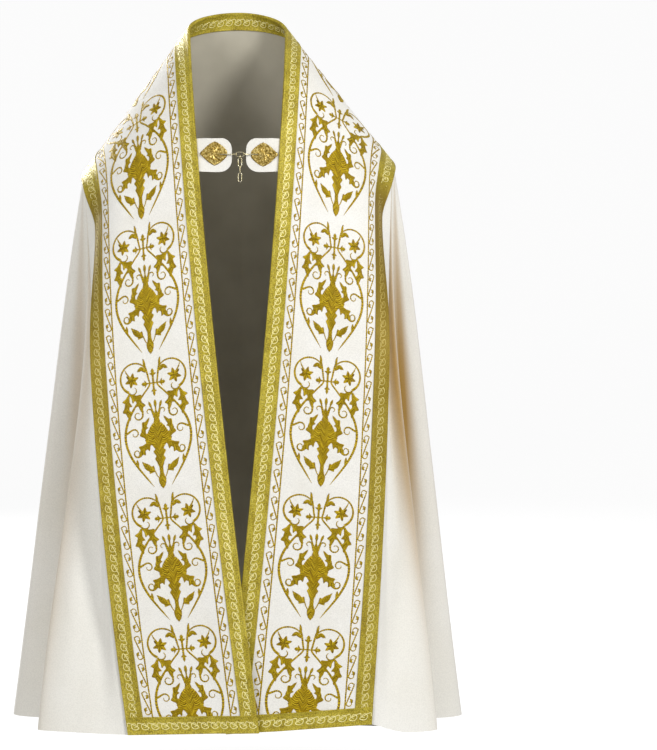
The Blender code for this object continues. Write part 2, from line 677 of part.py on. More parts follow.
def stadium(centre, long_axis, long_half, wide_axis, wide_half, per_end=7):
    """Two straights joined by half rounds, as points; the sizes are to the wire's middle."""
    angle = np.linspace(-math.pi / 2, math.pi / 2, per_end)
    straight = long_half - wide_half
    u = np.concatenate([straight + wide_half * np.cos(angle), -straight - wide_half * np.cos(angle)])
    v = np.concatenate([wide_half * np.sin(angle), -wide_half * np.sin(angle)])
    long_axis, wide_axis = np.array(long_axis, float), np.array(wide_axis, float)
    return np.array(centre) + u[:, None] * long_axis + v[:, None] * wide_axis


def make_clasp(materials):
    plane = min(clasp_plane("left"), clasp_plane("right"))
    plate_back = plane - LAYER_GAP
    plate_front = plate_back - PLATE_WALL
    for side, shoulder in SHOULDERS.items():
        make_tab(side, materials["cloth"])
        sign = shoulder["sign"]
        centre = (sign * PLATE_CENTRE, plate_back, CLASP_Z + PLATE_RISE[side])
        solid_from_outline(f"morse_plate_{side}", spade_outline(sign), centre, PLATE_WALL,
                           materials["filigree"])
    wire_y = plate_front - LAYER_GAP - HOOK_WIRE
    ring_centre = np.array([RING_X, wire_y, CLASP_Z])
    tube("morse_ring", stadium(ring_centre, (1, 0, 0), RING_LONG / 2 - RING_WIRE, (0, 0, 1),
                               RING_TALL / 2 - RING_WIRE), RING_WIRE, materials["metal"],
         closed=True)
    bend = HOOK_WIRE + RING_WIRE + LAYER_GAP
    for side, shoulder in SHOULDERS.items():
        sign = shoulder["sign"]
        wire_x = RING_X + sign * (RING_LONG / 2 - RING_WIRE)
        angle = np.linspace(0, math.pi, 7)
        turn = np.stack([wire_x - sign * bend * np.sin(angle), wire_y - bend * np.cos(angle),
                         np.full_like(angle, CLASP_Z)], axis=-1)
        bar = [[sign * HOOK_END, wire_y, CLASP_Z],
               [wire_x + sign * HOOK_RISE, wire_y, CLASP_Z],
               [wire_x + sign * HOOK_NECK, wire_y - bend * 0.8, CLASP_Z]]
        tube(f"morse_hook_{side}", [*bar, *turn], HOOK_WIRE, materials["metal"])
    hang = ring_centre + np.array([0, 0, -(RING_TALL / 2 - RING_WIRE)])
    reach = RING_WIRE + CHAIN_WIRE + CHAIN_PLAY
    for number, length in enumerate(CHAIN_LINKS, start=1):
        half = length / 2 - CHAIN_WIRE
        centre = hang + np.array([0, 0, reach - half])
        wide = (0, 1, 0) if number % 2 else (1, 0, 0)
        tube(f"chain_link_{number}", stadium(centre, (0, 0, 1), half, wide, CHAIN_WIDE / 2
                                             - CHAIN_WIRE), CHAIN_WIRE, materials["metal"],
             closed=True)
        hang = hang + np.array([0, 0, reach - 2 * half])
        reach = 2 * CHAIN_WIRE + CHAIN_PLAY


def main():
    clear_scene()
    materials = {
        "cloth": make_material("ivory_cloth", (0.86, 0.84, 0.78), 0.75),
        "embroidery": make_material("gold_embroidery", (0.62, 0.42, 0.06), 0.55),
        "galloon": make_material("gold_galloon", (0.66, 0.50, 0.12), 0.42, 0.4),
        "fringe": make_material("gold_fringe", (0.42, 0.34, 0.12), 0.5, 0.3),
        "filigree": make_material("antique_gold", (0.55, 0.40, 0.20), 0.38, 1.0),
        "metal": make_material("pale_gold_metal", (0.78, 0.72, 0.56), 0.25, 1.0),
    }
    make_cope_cloth(materials["cloth"])
    for side in SHOULDERS:
        make_band(side, materials)
    make_centre_galloon(materials["galloon"])
    make_neck_galloon(materials["galloon"])
    make_hood(materials)
    make_fringe(materials["fringe"])
    make_clasp(materials)


main()
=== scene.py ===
# %% [markdown]
# # A cope, from its bare solids to its finish
#
# A cope is a half-round cloak of heavy cloth that hangs from both shoulders. This one is ivory,
# with a wide embroidered band down each front, a shield-shaped hood with a fringe on the back, and
# a clasp on the chest. The solids of every piece already stand in the scene, at their real size.
# Each cell below lays finely made pieces over them.

# %% Load the solids
import functools
import math

import bpy
import numpy as np
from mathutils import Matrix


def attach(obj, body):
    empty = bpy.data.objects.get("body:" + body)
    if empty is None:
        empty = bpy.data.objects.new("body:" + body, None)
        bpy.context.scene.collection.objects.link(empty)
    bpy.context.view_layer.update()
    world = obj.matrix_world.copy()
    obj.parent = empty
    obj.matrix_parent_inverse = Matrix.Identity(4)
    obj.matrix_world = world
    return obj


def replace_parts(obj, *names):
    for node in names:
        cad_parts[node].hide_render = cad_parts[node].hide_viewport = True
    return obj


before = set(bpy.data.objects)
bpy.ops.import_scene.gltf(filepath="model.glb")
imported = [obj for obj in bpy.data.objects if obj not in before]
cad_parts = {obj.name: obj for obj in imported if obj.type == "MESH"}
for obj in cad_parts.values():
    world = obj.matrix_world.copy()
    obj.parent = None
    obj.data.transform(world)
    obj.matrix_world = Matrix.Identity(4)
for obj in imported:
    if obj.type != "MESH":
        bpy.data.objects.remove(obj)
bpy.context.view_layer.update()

# %% [markdown]
# ## The camera and the frame of the picture
#
# The camera comes first, so that every later cell can be looked at as soon as it is made. It stands
# level with the middle of the cope. A long lens keeps the hem and the collar at nearly the same
# scale. The lens is shifted sideways rather than turned, so upright lines stay upright.

# %% Camera
FRAME_WIDE, FRAME_TALL = 657, 750
COPE_AXIS_AT = 239  # where the cope's middle plane falls, in pixels across the frame
CAMERA_AWAY = 3.6  # metres in front of the cope's middle, as is the height in metres
CAMERA_HEIGHT = -0.68
VIEW_TALL = 1.4775  # what the frame's height spans there


def make_camera():
    """A level camera. Its focal length is the sensor's size times the distance, over the height
    that the view spans at that distance."""
    data = bpy.data.cameras.new("camera")
    data.lens = data.sensor_width * CAMERA_AWAY / VIEW_TALL
    data.shift_x = (FRAME_WIDE / 2 - COPE_AXIS_AT) / FRAME_TALL
    camera = bpy.data.objects.new("camera", data)
    camera.location = (0.0, -CAMERA_AWAY, CAMERA_HEIGHT)
    camera.rotation_euler = (math.radians(90), 0.0, 0.0)
    bpy.context.scene.collection.objects.link(camera)
    bpy.context.scene.camera = camera
    return camera


camera = make_camera()
print("lens:", round(camera.data.lens, 1), "mm, shift:", round(camera.data.shift_x, 3))

# %% [markdown]
# ## Arrays into meshes
#
# A surface here is a table of points worked out with numpy: rows and columns of a function of two
# numbers. One helper turns such tables into a mesh object, all at once, which is far quicker than
# point by point.

# %% Mesh helpers
SHARP_FROM = math.radians(50)  # edges that turn by more than this stay crisp
NOT_ZERO = 1e-12  # added to a direction before its length divides it, so as never to divide by 0


def turned_out(points, faces):
    """The same faces, turned over if together they enclose less than nothing: the sum of the
    volumes between the middle and each triangle."""
    volume = 0.0
    corners_from = points - points.mean(axis=0)
    for group in faces:
        corners = corners_from[group]
        for k in range(1, group.shape[1] - 1):
            cross = np.cross(corners[:, k], corners[:, k + 1])
            volume += np.einsum("ij,ij->", corners[:, 0], cross)
    return [group[:, ::-1] for group in faces] if volume < 0 else faces


def make_piece(name, points, faces, materials, pattern, material_of=None, body="cope"):
    """A smooth closed mesh that rides on a body. "faces" is a list of arrays with a face a row,
    and "pattern" gives each point its place (u, v) on the material's pattern, in metres."""
    faces = turned_out(points, [np.asarray(group, np.int32) for group in faces if len(group)])
    corners = np.concatenate([group.ravel() for group in faces])
    sizes = np.concatenate([np.full(len(group), group.shape[1]) for group in faces])
    mesh = bpy.data.meshes.new(name)
    mesh.vertices.add(len(points))
    mesh.vertices.foreach_set("co", np.asarray(points, np.float32).ravel())
    mesh.loops.add(len(corners))
    mesh.loops.foreach_set("vertex_index", corners)
    mesh.polygons.add(len(sizes))
    mesh.polygons.foreach_set("loop_start", np.concatenate([[0], np.cumsum(sizes)[:-1]]))
    mesh.polygons.foreach_set("use_smooth", np.ones(len(sizes), bool))
    if material_of is not None:
        mesh.polygons.foreach_set("material_index", np.asarray(material_of, np.int32))
    layer = mesh.uv_layers.new(name="pattern")
    layer.data.foreach_set("uv", np.asarray(pattern, np.float32)[corners].ravel())
    for material in materials:
        mesh.materials.append(material)
    mesh.update(calc_edges=True)
    mesh.validate()
    mesh.set_sharp_from_angle(angle=SHARP_FROM)
    piece = bpy.data.objects.new(name, mesh)
    bpy.context.scene.collection.objects.link(piece)
    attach(piece, body)
    return piece


def dress(node, slot, *made, **more):
    """A piece that stands for one of the solids. Its "slot" is not used."""
    piece = make_piece(f"{node}_dressed", *made, **more)
    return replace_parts(piece, node)


def grid_quads(index, flip=False):
    """Four-cornered faces over a 2-D table of point numbers."""
    quads = np.stack([index[:-1, :-1], index[1:, :-1], index[1:, 1:], index[:-1, 1:]], axis=-1)
    quads = quads.reshape(-1, 4)
    return quads[:, ::-1] if flip else quads


def tube(index):
    """Faces round a tube, from a table of point numbers with a ring a row, and its two ends."""
    return [grid_quads(np.hstack([index, index[:, :1]])), np.stack([index[0], index[-1][::-1]])]


def unit(vectors):
    """The same directions with a length of 1."""
    return vectors / np.linalg.norm(vectors, axis=-1, keepdims=True)


def blend(start, end, share):
    """The place that lies a share of the way from start to end."""
    return start + (end - start) * share


def smooth(start, end, x):
    """0 before start, 1 after end, and an S curve (3x^2 - 2x^3) between."""
    share = np.clip((x - start) / (end - start), 0.0, 1.0)
    return share * share * (3.0 - 2.0 * share)


def through(rows, counts):
    """A smooth curve through the rows of an array (Catmull-Rom: each span is the cubic whose slope
    at a row is half the step between its neighbours), with each span cut into its count."""
    ends = np.vstack([2 * rows[0] - rows[1], rows, 2 * rows[-1] - rows[-2]])
    pieces = []
    for i, count in enumerate(counts):
        u = (np.arange(count) / count)[:, None]
        before, start, end, after = ends[i:i + 4]
        pieces.append(start + 0.5 * u * (end - before + u * (
            2 * before - 5 * start + 4 * end - after + u * (3 * (start - end) + after - before))))
    return np.vstack([*pieces, rows[-1:]])


def evenly(line, count):
    """The same line of points, set out again at equal distances along it."""
    length = np.concatenate([[0], np.cumsum(np.linalg.norm(np.diff(line, axis=0), axis=1))])
    at = np.linspace(0, length[-1], count)
    return np.stack([np.interp(at, length, line[:, k]) for k in range(line.shape[1])], axis=-1)


print("a table of 3 by 4 points has", len(grid_quads(np.arange(12).reshape(3, 4))), "faces")

# %% [markdown]
# ## The cope as one surface
#
# The whole cope is one sheet, so one pair of numbers finds any place on its band: s runs along the
# straight edge from the centre back, round the neck and down the front, and t runs across the band.
# Every braid and every stitch below is laid at its (s, t) and lifted a little along the surface's
# outward direction. This is how a maker thinks too: patterns are marked on flat cloth and only
# then worn. The sizes repeat those of the solids. They are in metres, and a side's own sizes are
# measured outwards from the middle plane.

# %% The cut's sizes
BAND_WIDTH = 0.255
GALLOON_WIDTH = 0.033
TUCK_DEPTH = 0.008
EDGE_HALF = 1.535  # from the centre back round the neck and down one front to the hem
NECK_HALF = 0.145
CREST_RUN = 0.288
CORNER_S = NECK_HALF + CREST_RUN  # where the shoulder's corner lies along the edge
FAN_HALF = 0.045  # the skirt's columns leave the band within this much of the corner
FRONT_RUN = EDGE_HALF - CORNER_S - FAN_HALF
CLOTH_WALL = 0.002
ORPHREY_WALL = 0.0012
TRIM_WALL = 0.0009
LAYER_GAP = 0.0003
# How far each layer's underside, or the orphrey's face, lies above the cloth's outer face.
ORPHREY_LIFT = LAYER_GAP
ORPHREY_FACE = ORPHREY_LIFT + ORPHREY_WALL
GALLOON_LIFT = ORPHREY_FACE + LAYER_GAP
HEM_LIFT = GALLOON_LIFT + TRIM_WALL + LAYER_GAP
SHOULDERS = {
    "left": dict(sign=-1, neck_out=0.0985, neck_z=0.0, corner_out=0.308, corner_z=-0.300,
                 inner_drift=0.088, outer_drift=0.070, underlap=-1),
    "right": dict(sign=1, neck_out=0.093, neck_z=-0.004, corner_out=0.306, corner_z=-0.280,
                  inner_drift=0.0755, outer_drift=0.035, underlap=1),
}
# How the band's inner and outer edge fall in front of the shoulder's crest.
ROW_SHAPE = {
    "inner": dict(depth=0.160, reach=0.200, drop=0.045, drop_reach=0.110, lean=0.030),
    "outer": dict(depth=0.145, reach=0.150, drop=0.050, drop_reach=0.110, lean=0.040),
}
INWARD_POWER = 1.3
CORNER_TURN, CORNER_TURN_REACH = 0.016, 0.08
ARM_ROLL, ARM_ROLL_WIDTH = math.radians(52), 0.045
ARM_ROLL_TOP, ARM_ROLL_PEAK, ARM_ROLL_END = 0.0, 0.13, 0.50
CENTRE_BACK = dict(top_y=0.070, top_z=0.046, low_y=0.135, low_z=-0.204)
OVERLAP_STEP, OVERLAP_TOP, OVERLAP_FULL = 0.006, -0.93, -1.10
OVERLAP_NEAR, OVERLAP_FAR = 0.03, 0.09
HEM_Z = -1.350
# Each fold's top, counted along the edge from the shoulder's corner, its place on the hem, and how
# far its column bows out on the way down.
HEM_COLUMNS = ("fold", "top", "out", "y", "bow")
HEM_FOLDS = {
    "left": (
        ("front panel", 0.036, 0.300, -0.176, -0.014),
        ("front corner", 0.028, 0.374, -0.138, -0.026),
        ("front valley", 0.015, 0.125, -0.072, 0.000),
        ("side front", 0.005, 0.396, -0.022, 0.002),
        ("side", -0.002, 0.447, 0.032, 0.006),
        ("side back", -0.012, 0.398, 0.088, 0.004),
        ("back valley", -0.022, 0.130, 0.112, 0.000),
        ("back corner", -0.045, 0.312, 0.196, -0.006),
        ("back quarter", -0.210, 0.165, 0.234, 0.000),
    ),
    "right": (
        ("front panel", 0.036, 0.312, -0.172, -0.010),
        ("front corner", 0.028, 0.367, -0.132, -0.018),
        ("front valley", 0.015, 0.118, -0.078, 0.000),
        ("side front", 0.005, 0.388, -0.030, 0.000),
        ("side", -0.002, 0.441, 0.024, 0.008),
        ("side back", -0.012, 0.390, 0.082, 0.006),
        ("back valley", -0.022, 0.124, 0.104, 0.000),
        ("back corner", -0.045, 0.304, 0.192, -0.004),
        ("back quarter", -0.210, 0.160, 0.236, 0.000),
    ),
}
CENTRE_BACK_HEM_Y = 0.242
print("the cope's straight edge:", 2 * EDGE_HALF, "m, folds a side:", len(HEM_FOLDS["left"]))

# %% [markdown]
# ### The band in front of the shoulder
#
# The shoulder's crest is a straight line from the side of the neck to the shoulder's corner. In
# front of it each row of the cloth first runs forward, then hangs, and an exponential gives that
# turn: quick at first and ever slower. Low down, the two fronts lie one over the other.

# %% The band's front rows
SHORT_STEP = 1e-4  # for directions, which are read from two places this far apart


def crest_s(t):
    """Where, along the edge, the shoulder's crest crosses the band's line t."""
    return NECK_HALF + CREST_RUN * t / BAND_WIDTH


def crest_point(shoulder, t):
    """A point of the crest, on the band's line t."""
    share = t / BAND_WIDTH
    out = blend(shoulder["neck_out"], shoulder["corner_out"], share)
    z = blend(shoulder["neck_z"], shoulder["corner_z"], share)
    return np.stack([out, np.zeros_like(out), z], axis=-1)


def front_rows(shoulder, d, t):
    """How far a point d down the front lies from the crest, as (out, y, z): forward and down each
    follow 1 - exp(-d / reach), inward follows a power of d, and the outer galloon is rolled back
    round the arm by an angle that rises and fades with d."""
    share = t / BAND_WIDTH
    shapes = []
    for name in ("inner", "outer"):
        row = ROW_SHAPE[name]
        forward = row["depth"] * (1 - np.exp(-d / row["reach"])) + row["lean"] * d
        down = d - row["drop"] * (1 - np.exp(-d / row["drop_reach"]))
        if name == "inner":
            inward = shoulder["inner_drift"] * np.maximum(d, 0) ** INWARD_POWER
        else:
            turn = CORNER_TURN * (1 - np.exp(-d / CORNER_TURN_REACH))
            inward = turn + shoulder["outer_drift"] * d**2
        shapes.append(np.stack([-inward, -forward, -down], axis=-1))
    offset = blend(shapes[0], shapes[1], share[..., None])
    angle = ARM_ROLL * smooth(ARM_ROLL_TOP, ARM_ROLL_PEAK, d)
    angle = angle * (1 - smooth(ARM_ROLL_PEAK, ARM_ROLL_END, d))
    rolled = np.maximum(t - (BAND_WIDTH - 2 * ARM_ROLL_WIDTH), 0) / (2 * ARM_ROLL_WIDTH)
    bent = angle * rolled
    offset[..., 0] -= (1 - np.cos(bent)) * rolled * ARM_ROLL_WIDTH
    offset[..., 1] += np.sin(bent) * rolled * ARM_ROLL_WIDTH
    return offset


def crest_tangent(shoulder, t):
    """The direction in which a row crosses the crest."""
    first = front_rows(shoulder, np.zeros_like(t), t)
    return unit(front_rows(shoulder, np.full_like(t, SHORT_STEP), t) - first)


for side, shoulder in SHOULDERS.items():
    corner = crest_point(shoulder, np.array(BAND_WIDTH))
    print(side, "shoulder's corner: out", round(corner[0], 3), "up", round(corner[2], 3))

# %% [markdown]
# ### The band behind the shoulder, and the whole of it
#
# Behind the crest a row has to meet the other side's row at the centre back, where both are level,
# and to leave the crest as the front row does, so that no ridge shows. A cubic curve does both.

# %% The band's back rows
def back_rows(shoulder, s, t):
    """A row behind the crest: a cubic (Bezier) curve from the centre back, level there, to the
    crest, where it leaves in the front row's direction."""
    share = t / BAND_WIDTH
    length = crest_s(t)
    u = (s / length)[..., None]
    start = np.stack([
        np.zeros_like(share),
        blend(CENTRE_BACK["top_y"], CENTRE_BACK["low_y"], share),
        blend(CENTRE_BACK["top_z"], CENTRE_BACK["low_z"], share),
    ], axis=-1)
    end = crest_point(shoulder, t)
    reach = (length / 3)[..., None]
    first = start + reach * np.array([1.0, 0.0, 0.0])
    last = end - reach * crest_tangent(shoulder, t)
    return ((1 - u) ** 3 * start + 3 * (1 - u) ** 2 * u * first
            + 3 * (1 - u) * u**2 * last + u**3 * end)


def band_point(side, s, t):
    """The cloth's outer face on the band: front rows past the crest, back rows behind it."""
    shoulder = SHOULDERS[side]
    s, t = np.broadcast_arrays(np.asarray(s, float), np.asarray(t, float))
    past = s - crest_s(t)
    front = crest_point(shoulder, t) + front_rows(shoulder, np.maximum(past, 0), t)
    inside = 1 - smooth(OVERLAP_NEAR, OVERLAP_FAR, t)
    crossing = 1 - smooth(OVERLAP_FULL, OVERLAP_TOP, front[..., 2])
    front[..., 1] += shoulder["underlap"] * OVERLAP_STEP * crossing * inside
    back = back_rows(shoulder, np.minimum(s, crest_s(t)), t)
    points = np.where((past > 0)[..., None], front, back)
    return points * np.array([shoulder["sign"], 1.0, 1.0])


def band_normal(side, s, t):
    """The outward direction on the band, from short steps along and across it."""
    s, t = np.broadcast_arrays(np.asarray(s, float), np.asarray(t, float))
    before = np.maximum(s - SHORT_STEP, 0)
    along = band_point(side, s + SHORT_STEP, t) - band_point(side, before, t)
    across = band_point(side, s, t + SHORT_STEP) - band_point(side, s, t - SHORT_STEP)
    return unit(np.cross(along, across) * SHOULDERS[side]["sign"])


def on_band(side, s, t, lift):
    """Points on the band at (s, t), lifted off the cloth along its outward direction."""
    return band_point(side, s, t) + band_normal(side, s, t) * np.asarray(lift)[..., None]


for side in SHOULDERS:
    print(side, "front's foot:", np.round(band_point(side, EDGE_HALF, 0.0), 3).tolist())

# %% [markdown]
# ## The skirt
#
# Below the band the cloth fans out from the shoulder's corner. The hem is drawn first, as one
# smooth wavy line through the folds, seen from below. Each column of the cloth then runs straight
# from the corner to its place on the hem, because heavy cloth that hangs from one point falls in
# straight cones.

# %% The skirt's columns
COLUMNS_PER_FOLD = 14
COLUMNS_PER_BACK_QUARTER = 30
SKIRT_ROWS = 92
ROWS_CROWD = 1.25  # the power that brings the rows closer together near the shoulder
EDGE_SETTLES = 0.5  # the band's own line gives way to straight columns within this much of a fold


def hem_stations():
    """Shares of the way down the skirt, with one row at the hem galloon's edge and one under it."""
    above = np.linspace(0, 1, SKIRT_ROWS) ** ROWS_CROWD * (1 - GALLOON_WIDTH / FRONT_RUN)
    return np.append(above, [1 - GALLOON_WIDTH / FRONT_RUN / 2, 1.0])


@functools.cache
def skirt(side):
    """Columns of the skirt from the band round to the centre back, before their creases, as an
    array (column, row, xyz), with each column's place along the band's edge and among the folds.
    A point is top + (hem - top) v, moved out by bow 27/4 v (1 - v)^2."""
    sign = SHOULDERS[side]["sign"]
    v = hem_stations()
    edge_s = CORNER_S + FAN_HALF + v * FRONT_RUN
    edge = band_point(side, edge_s, BAND_WIDTH)
    folds = [dict(zip(HEM_COLUMNS, row)) for row in HEM_FOLDS[side]]
    rows = [[abs(edge[-1, 0]), edge[-1, 1], edge[-1, 2], 0.0]]
    rows += [[fold["out"], fold["y"], HEM_Z, fold["bow"]] for fold in folds]
    rows.append([0.0, CENTRE_BACK_HEM_Y, HEM_Z, 0.0])
    tops = [FAN_HALF, *(fold["top"] for fold in folds), -CORNER_S]
    counts = [COLUMNS_PER_FOLD] * (len(rows) - 3) + [COLUMNS_PER_BACK_QUARTER] * 2
    path = through(np.array(rows), counts)
    path[-1, 0] = 0.0
    station = np.append(np.concatenate([i + np.arange(n) / n for i, n in enumerate(counts)]),
                        len(counts))
    top_s = CORNER_S + np.interp(station, np.arange(len(rows)), tops)
    top = band_point(side, top_s, BAND_WIDTH)
    hem = path[:, :3] * np.array([sign, 1.0, 1.0])
    columns = top[:, None] + (hem - top)[:, None] * v[None, :, None]
    columns[..., 0] += sign * path[:, 3:] * 27 / 4 * v * (1 - v) ** 2
    settle = 1 - smooth(0, EDGE_SETTLES, station)[:, None, None]
    columns += (edge - columns[0]) * settle
    return columns, top_s, station


for side in SHOULDERS:
    columns, _, _ = skirt(side)
    print(side, "skirt:", columns.shape[:2], "hem:",
          round(float(np.linalg.norm(np.diff(columns[:, -1], axis=0), axis=1).sum()), 2), "m round")

# %% [markdown]
# ## Creases
#
# A simulation could drape the skirt, but it would find its own folds. Here the folds have to be
# these, so the main creases are listed one by one, as soft troughs and ridges of uneven depth. Each
# gets a line for where it starts, where it ends and how deep it is.

# %% The creases
FOLD_SHALLOW, FOLD_DEEP = 0.001, 0.018
# Painted shade: past the band's edge, a deep place in a fold takes up to this much of it.
HOLLOW_SHADE = 0.55  # the most shade that a deep place takes by its depth alone
LAST_CREASED, CENTRE_BACK_FOLD = 9.75, 10  # the creases fade between these
# Each crease: the fold that it lies at near the shoulder and at the hem, counted from the band (0)
# to the centre back (10), its depth and half width, and the shares of the height where it starts,
# is deepest and ends.
CREASE_COLUMNS = ("top", "hem", "depth", "half", "start", "deep", "end")
CREASES = {
    "left": (
        (1.10, 1.20, -0.0080, 0.30, -0.10, 0.35, 0.85),
        (0.9, 0.55, -0.0040, 0.30, 0.10, 0.60, 1.10),
        (1.2, 1.25, 0.0050, 0.22, 0.05, 0.70, 1.20),
        (3.6, 3.75, -0.0060, 0.30, 0.05, 0.45, 0.95),
        (4.1, 4.35, 0.0050, 0.26, 0.15, 0.55, 1.10),
        (4.9, 5.10, -0.0050, 0.30, 0.10, 0.50, 1.05),
        (7.6, 7.45, -0.0060, 0.35, 0.30, 0.75, 1.30),
        (8.3, 8.25, 0.0060, 0.30, 0.38, 0.80, 1.30),
        (8.9, 9.10, -0.0070, 0.34, 0.38, 0.85, 1.30),
        (9.5, 9.60, 0.0050, 0.26, 0.40, 0.90, 1.30),
    ),
    "right": (
        (0.95, 1.30, -0.0150, 0.26, -0.10, 0.35, 0.80),
        (0.8, 0.70, -0.0045, 0.28, 0.15, 0.65, 1.15),
        (1.3, 1.30, 0.0045, 0.24, 0.05, 0.70, 1.20),
        (3.5, 3.60, -0.0050, 0.28, 0.05, 0.40, 0.90),
        (4.2, 4.20, 0.0060, 0.30, 0.10, 0.60, 1.15),
        (5.1, 4.95, -0.0045, 0.28, 0.10, 0.55, 1.05),
        (7.5, 7.60, -0.0050, 0.32, 0.30, 0.75, 1.30),
        (8.4, 8.35, 0.0065, 0.32, 0.38, 0.80, 1.30),
        (9.0, 8.85, -0.0055, 0.28, 0.38, 0.85, 1.30),
        (9.4, 9.50, 0.0040, 0.30, 0.40, 0.90, 1.30),
    ),
}

# Lines of painted warm shade, standing in for the shade of the gold beside the narrow folds, in the
# same columns. Their "depth" is how much of the painted shade they take, up to 1.
PAINTED_SHADE_LINES = {
    "left": (
        (1.3, 1.60, 0.34, 0.40, -0.20, 0.30, 0.95),
        (3.72, 3.75, 0.40, 0.14, -0.20, 0.35, 0.95),
        (1.8, 1.85, 0.30, 0.30, 0.25, 0.75, 1.30),
        (4.4, 4.50, 0.11, 0.70, -0.20, 0.50, 1.50),
    ),
    "right": (
        (1.20, 1.75, 0.95, 0.38, -0.20, 0.34, 0.90),
        (3.78, 3.86, 1.00, 0.15, -0.20, 0.42, 0.95),
        (4.3, 4.30, 0.10, 0.50, -0.20, 0.40, 1.20),
        (1.6, 1.75, 0.20, 0.25, 0.30, 0.70, 1.20),
    ),
}
WARM_FROM, WARM_FULL = 1.4, 2.4  # the folds' own depth counts from here, past the band's edge


def lines_down(rows, station):
    """The sum of some lines down the skirt, for each point: depth times a bell curve across the
    line and a rise and fall along it."""
    v = hem_stations()
    total = np.zeros((len(station), len(v)))
    for row in rows:
        crease = dict(zip(CREASE_COLUMNS, row))
        at = blend(crease["top"], crease["hem"], v)[None]
        bell = np.exp(-((station[:, None] - at) / crease["half"]) ** 2)
        rise = smooth(crease["start"], crease["deep"], v)
        fall = smooth(crease["deep"], crease["end"], v)
        total += crease["depth"] * bell * (rise * (1 - fall))
    return total


def skirt_facing(side, columns):
    """The outward direction at each point of the skirt, from its neighbours across and down."""
    down = np.gradient(columns, axis=1)
    across = np.gradient(columns, axis=0)
    return unit(np.cross(across, down) * -SHOULDERS[side]["sign"] + NOT_ZERO)


def creased(side):
    """The skirt with its creases, each of which moves the cloth along its outward direction."""
    columns, _, station = skirt(side)
    move = lines_down(CREASES[side], station)
    at_band = smooth(0, EDGE_SETTLES, station)[:, None]
    at_back = smooth(LAST_CREASED, CENTRE_BACK_FOLD, station)[:, None]
    return columns + skirt_facing(side, columns) * (move * (at_band * (1 - at_back)))[..., None]


def painted_fold_shade(side):
    """How much painted shade each point takes, from 0 to 1: more the further it lies inside the
    average of the points up to one fold away on either side, plus what the lines of painted shade
    add."""
    columns, station = creased(side), skirt(side)[2]
    window = COLUMNS_PER_FOLD
    padded = np.pad(columns, ((window + 1, window), (0, 0), (0, 0)), mode="edge")
    total = np.cumsum(padded, axis=0)
    average = (total[2 * window + 1:] - total[:-2 * window - 1]) / (2 * window + 1)
    inside = ((average - columns) * skirt_facing(side, columns)).sum(axis=-1)
    past_band = smooth(WARM_FROM, WARM_FULL, station)[:, None]
    # The painted fold shade: by depth past the band's edge, and along the listed lines.
    deep = HOLLOW_SHADE * smooth(FOLD_SHALLOW, FOLD_DEEP, inside) * past_band
    return np.clip(deep + lines_down(PAINTED_SHADE_LINES[side], station), 0, 1)


for side in SHOULDERS:
    moved = np.linalg.norm(creased(side) - skirt(side)[0], axis=-1).max()
    print(side, "creases move the cloth by up to", round(1000 * float(moved), 1), "mm")

# %% [markdown]
# ## Finishes
#
# Every finish is a small tree of nodes that works out colour, roughness and relief from a place on
# the piece. Threads follow the cloth, so weaves read the piece's own pattern map, which is in
# metres. Speckle and slow changes of tone have no direction, so they read the object's own
# coordinates.

# %% A helper for finishes
ONE_BAND = math.tau / 20  # the wave texture's scale at which one band is a metre wide
# Each point of some pieces carries, from 0 to 1, how much painted shade its finish mixes in.
FOLD_SHADE = "fold_shade"  # the number that each point of some pieces carries, 0 to 1


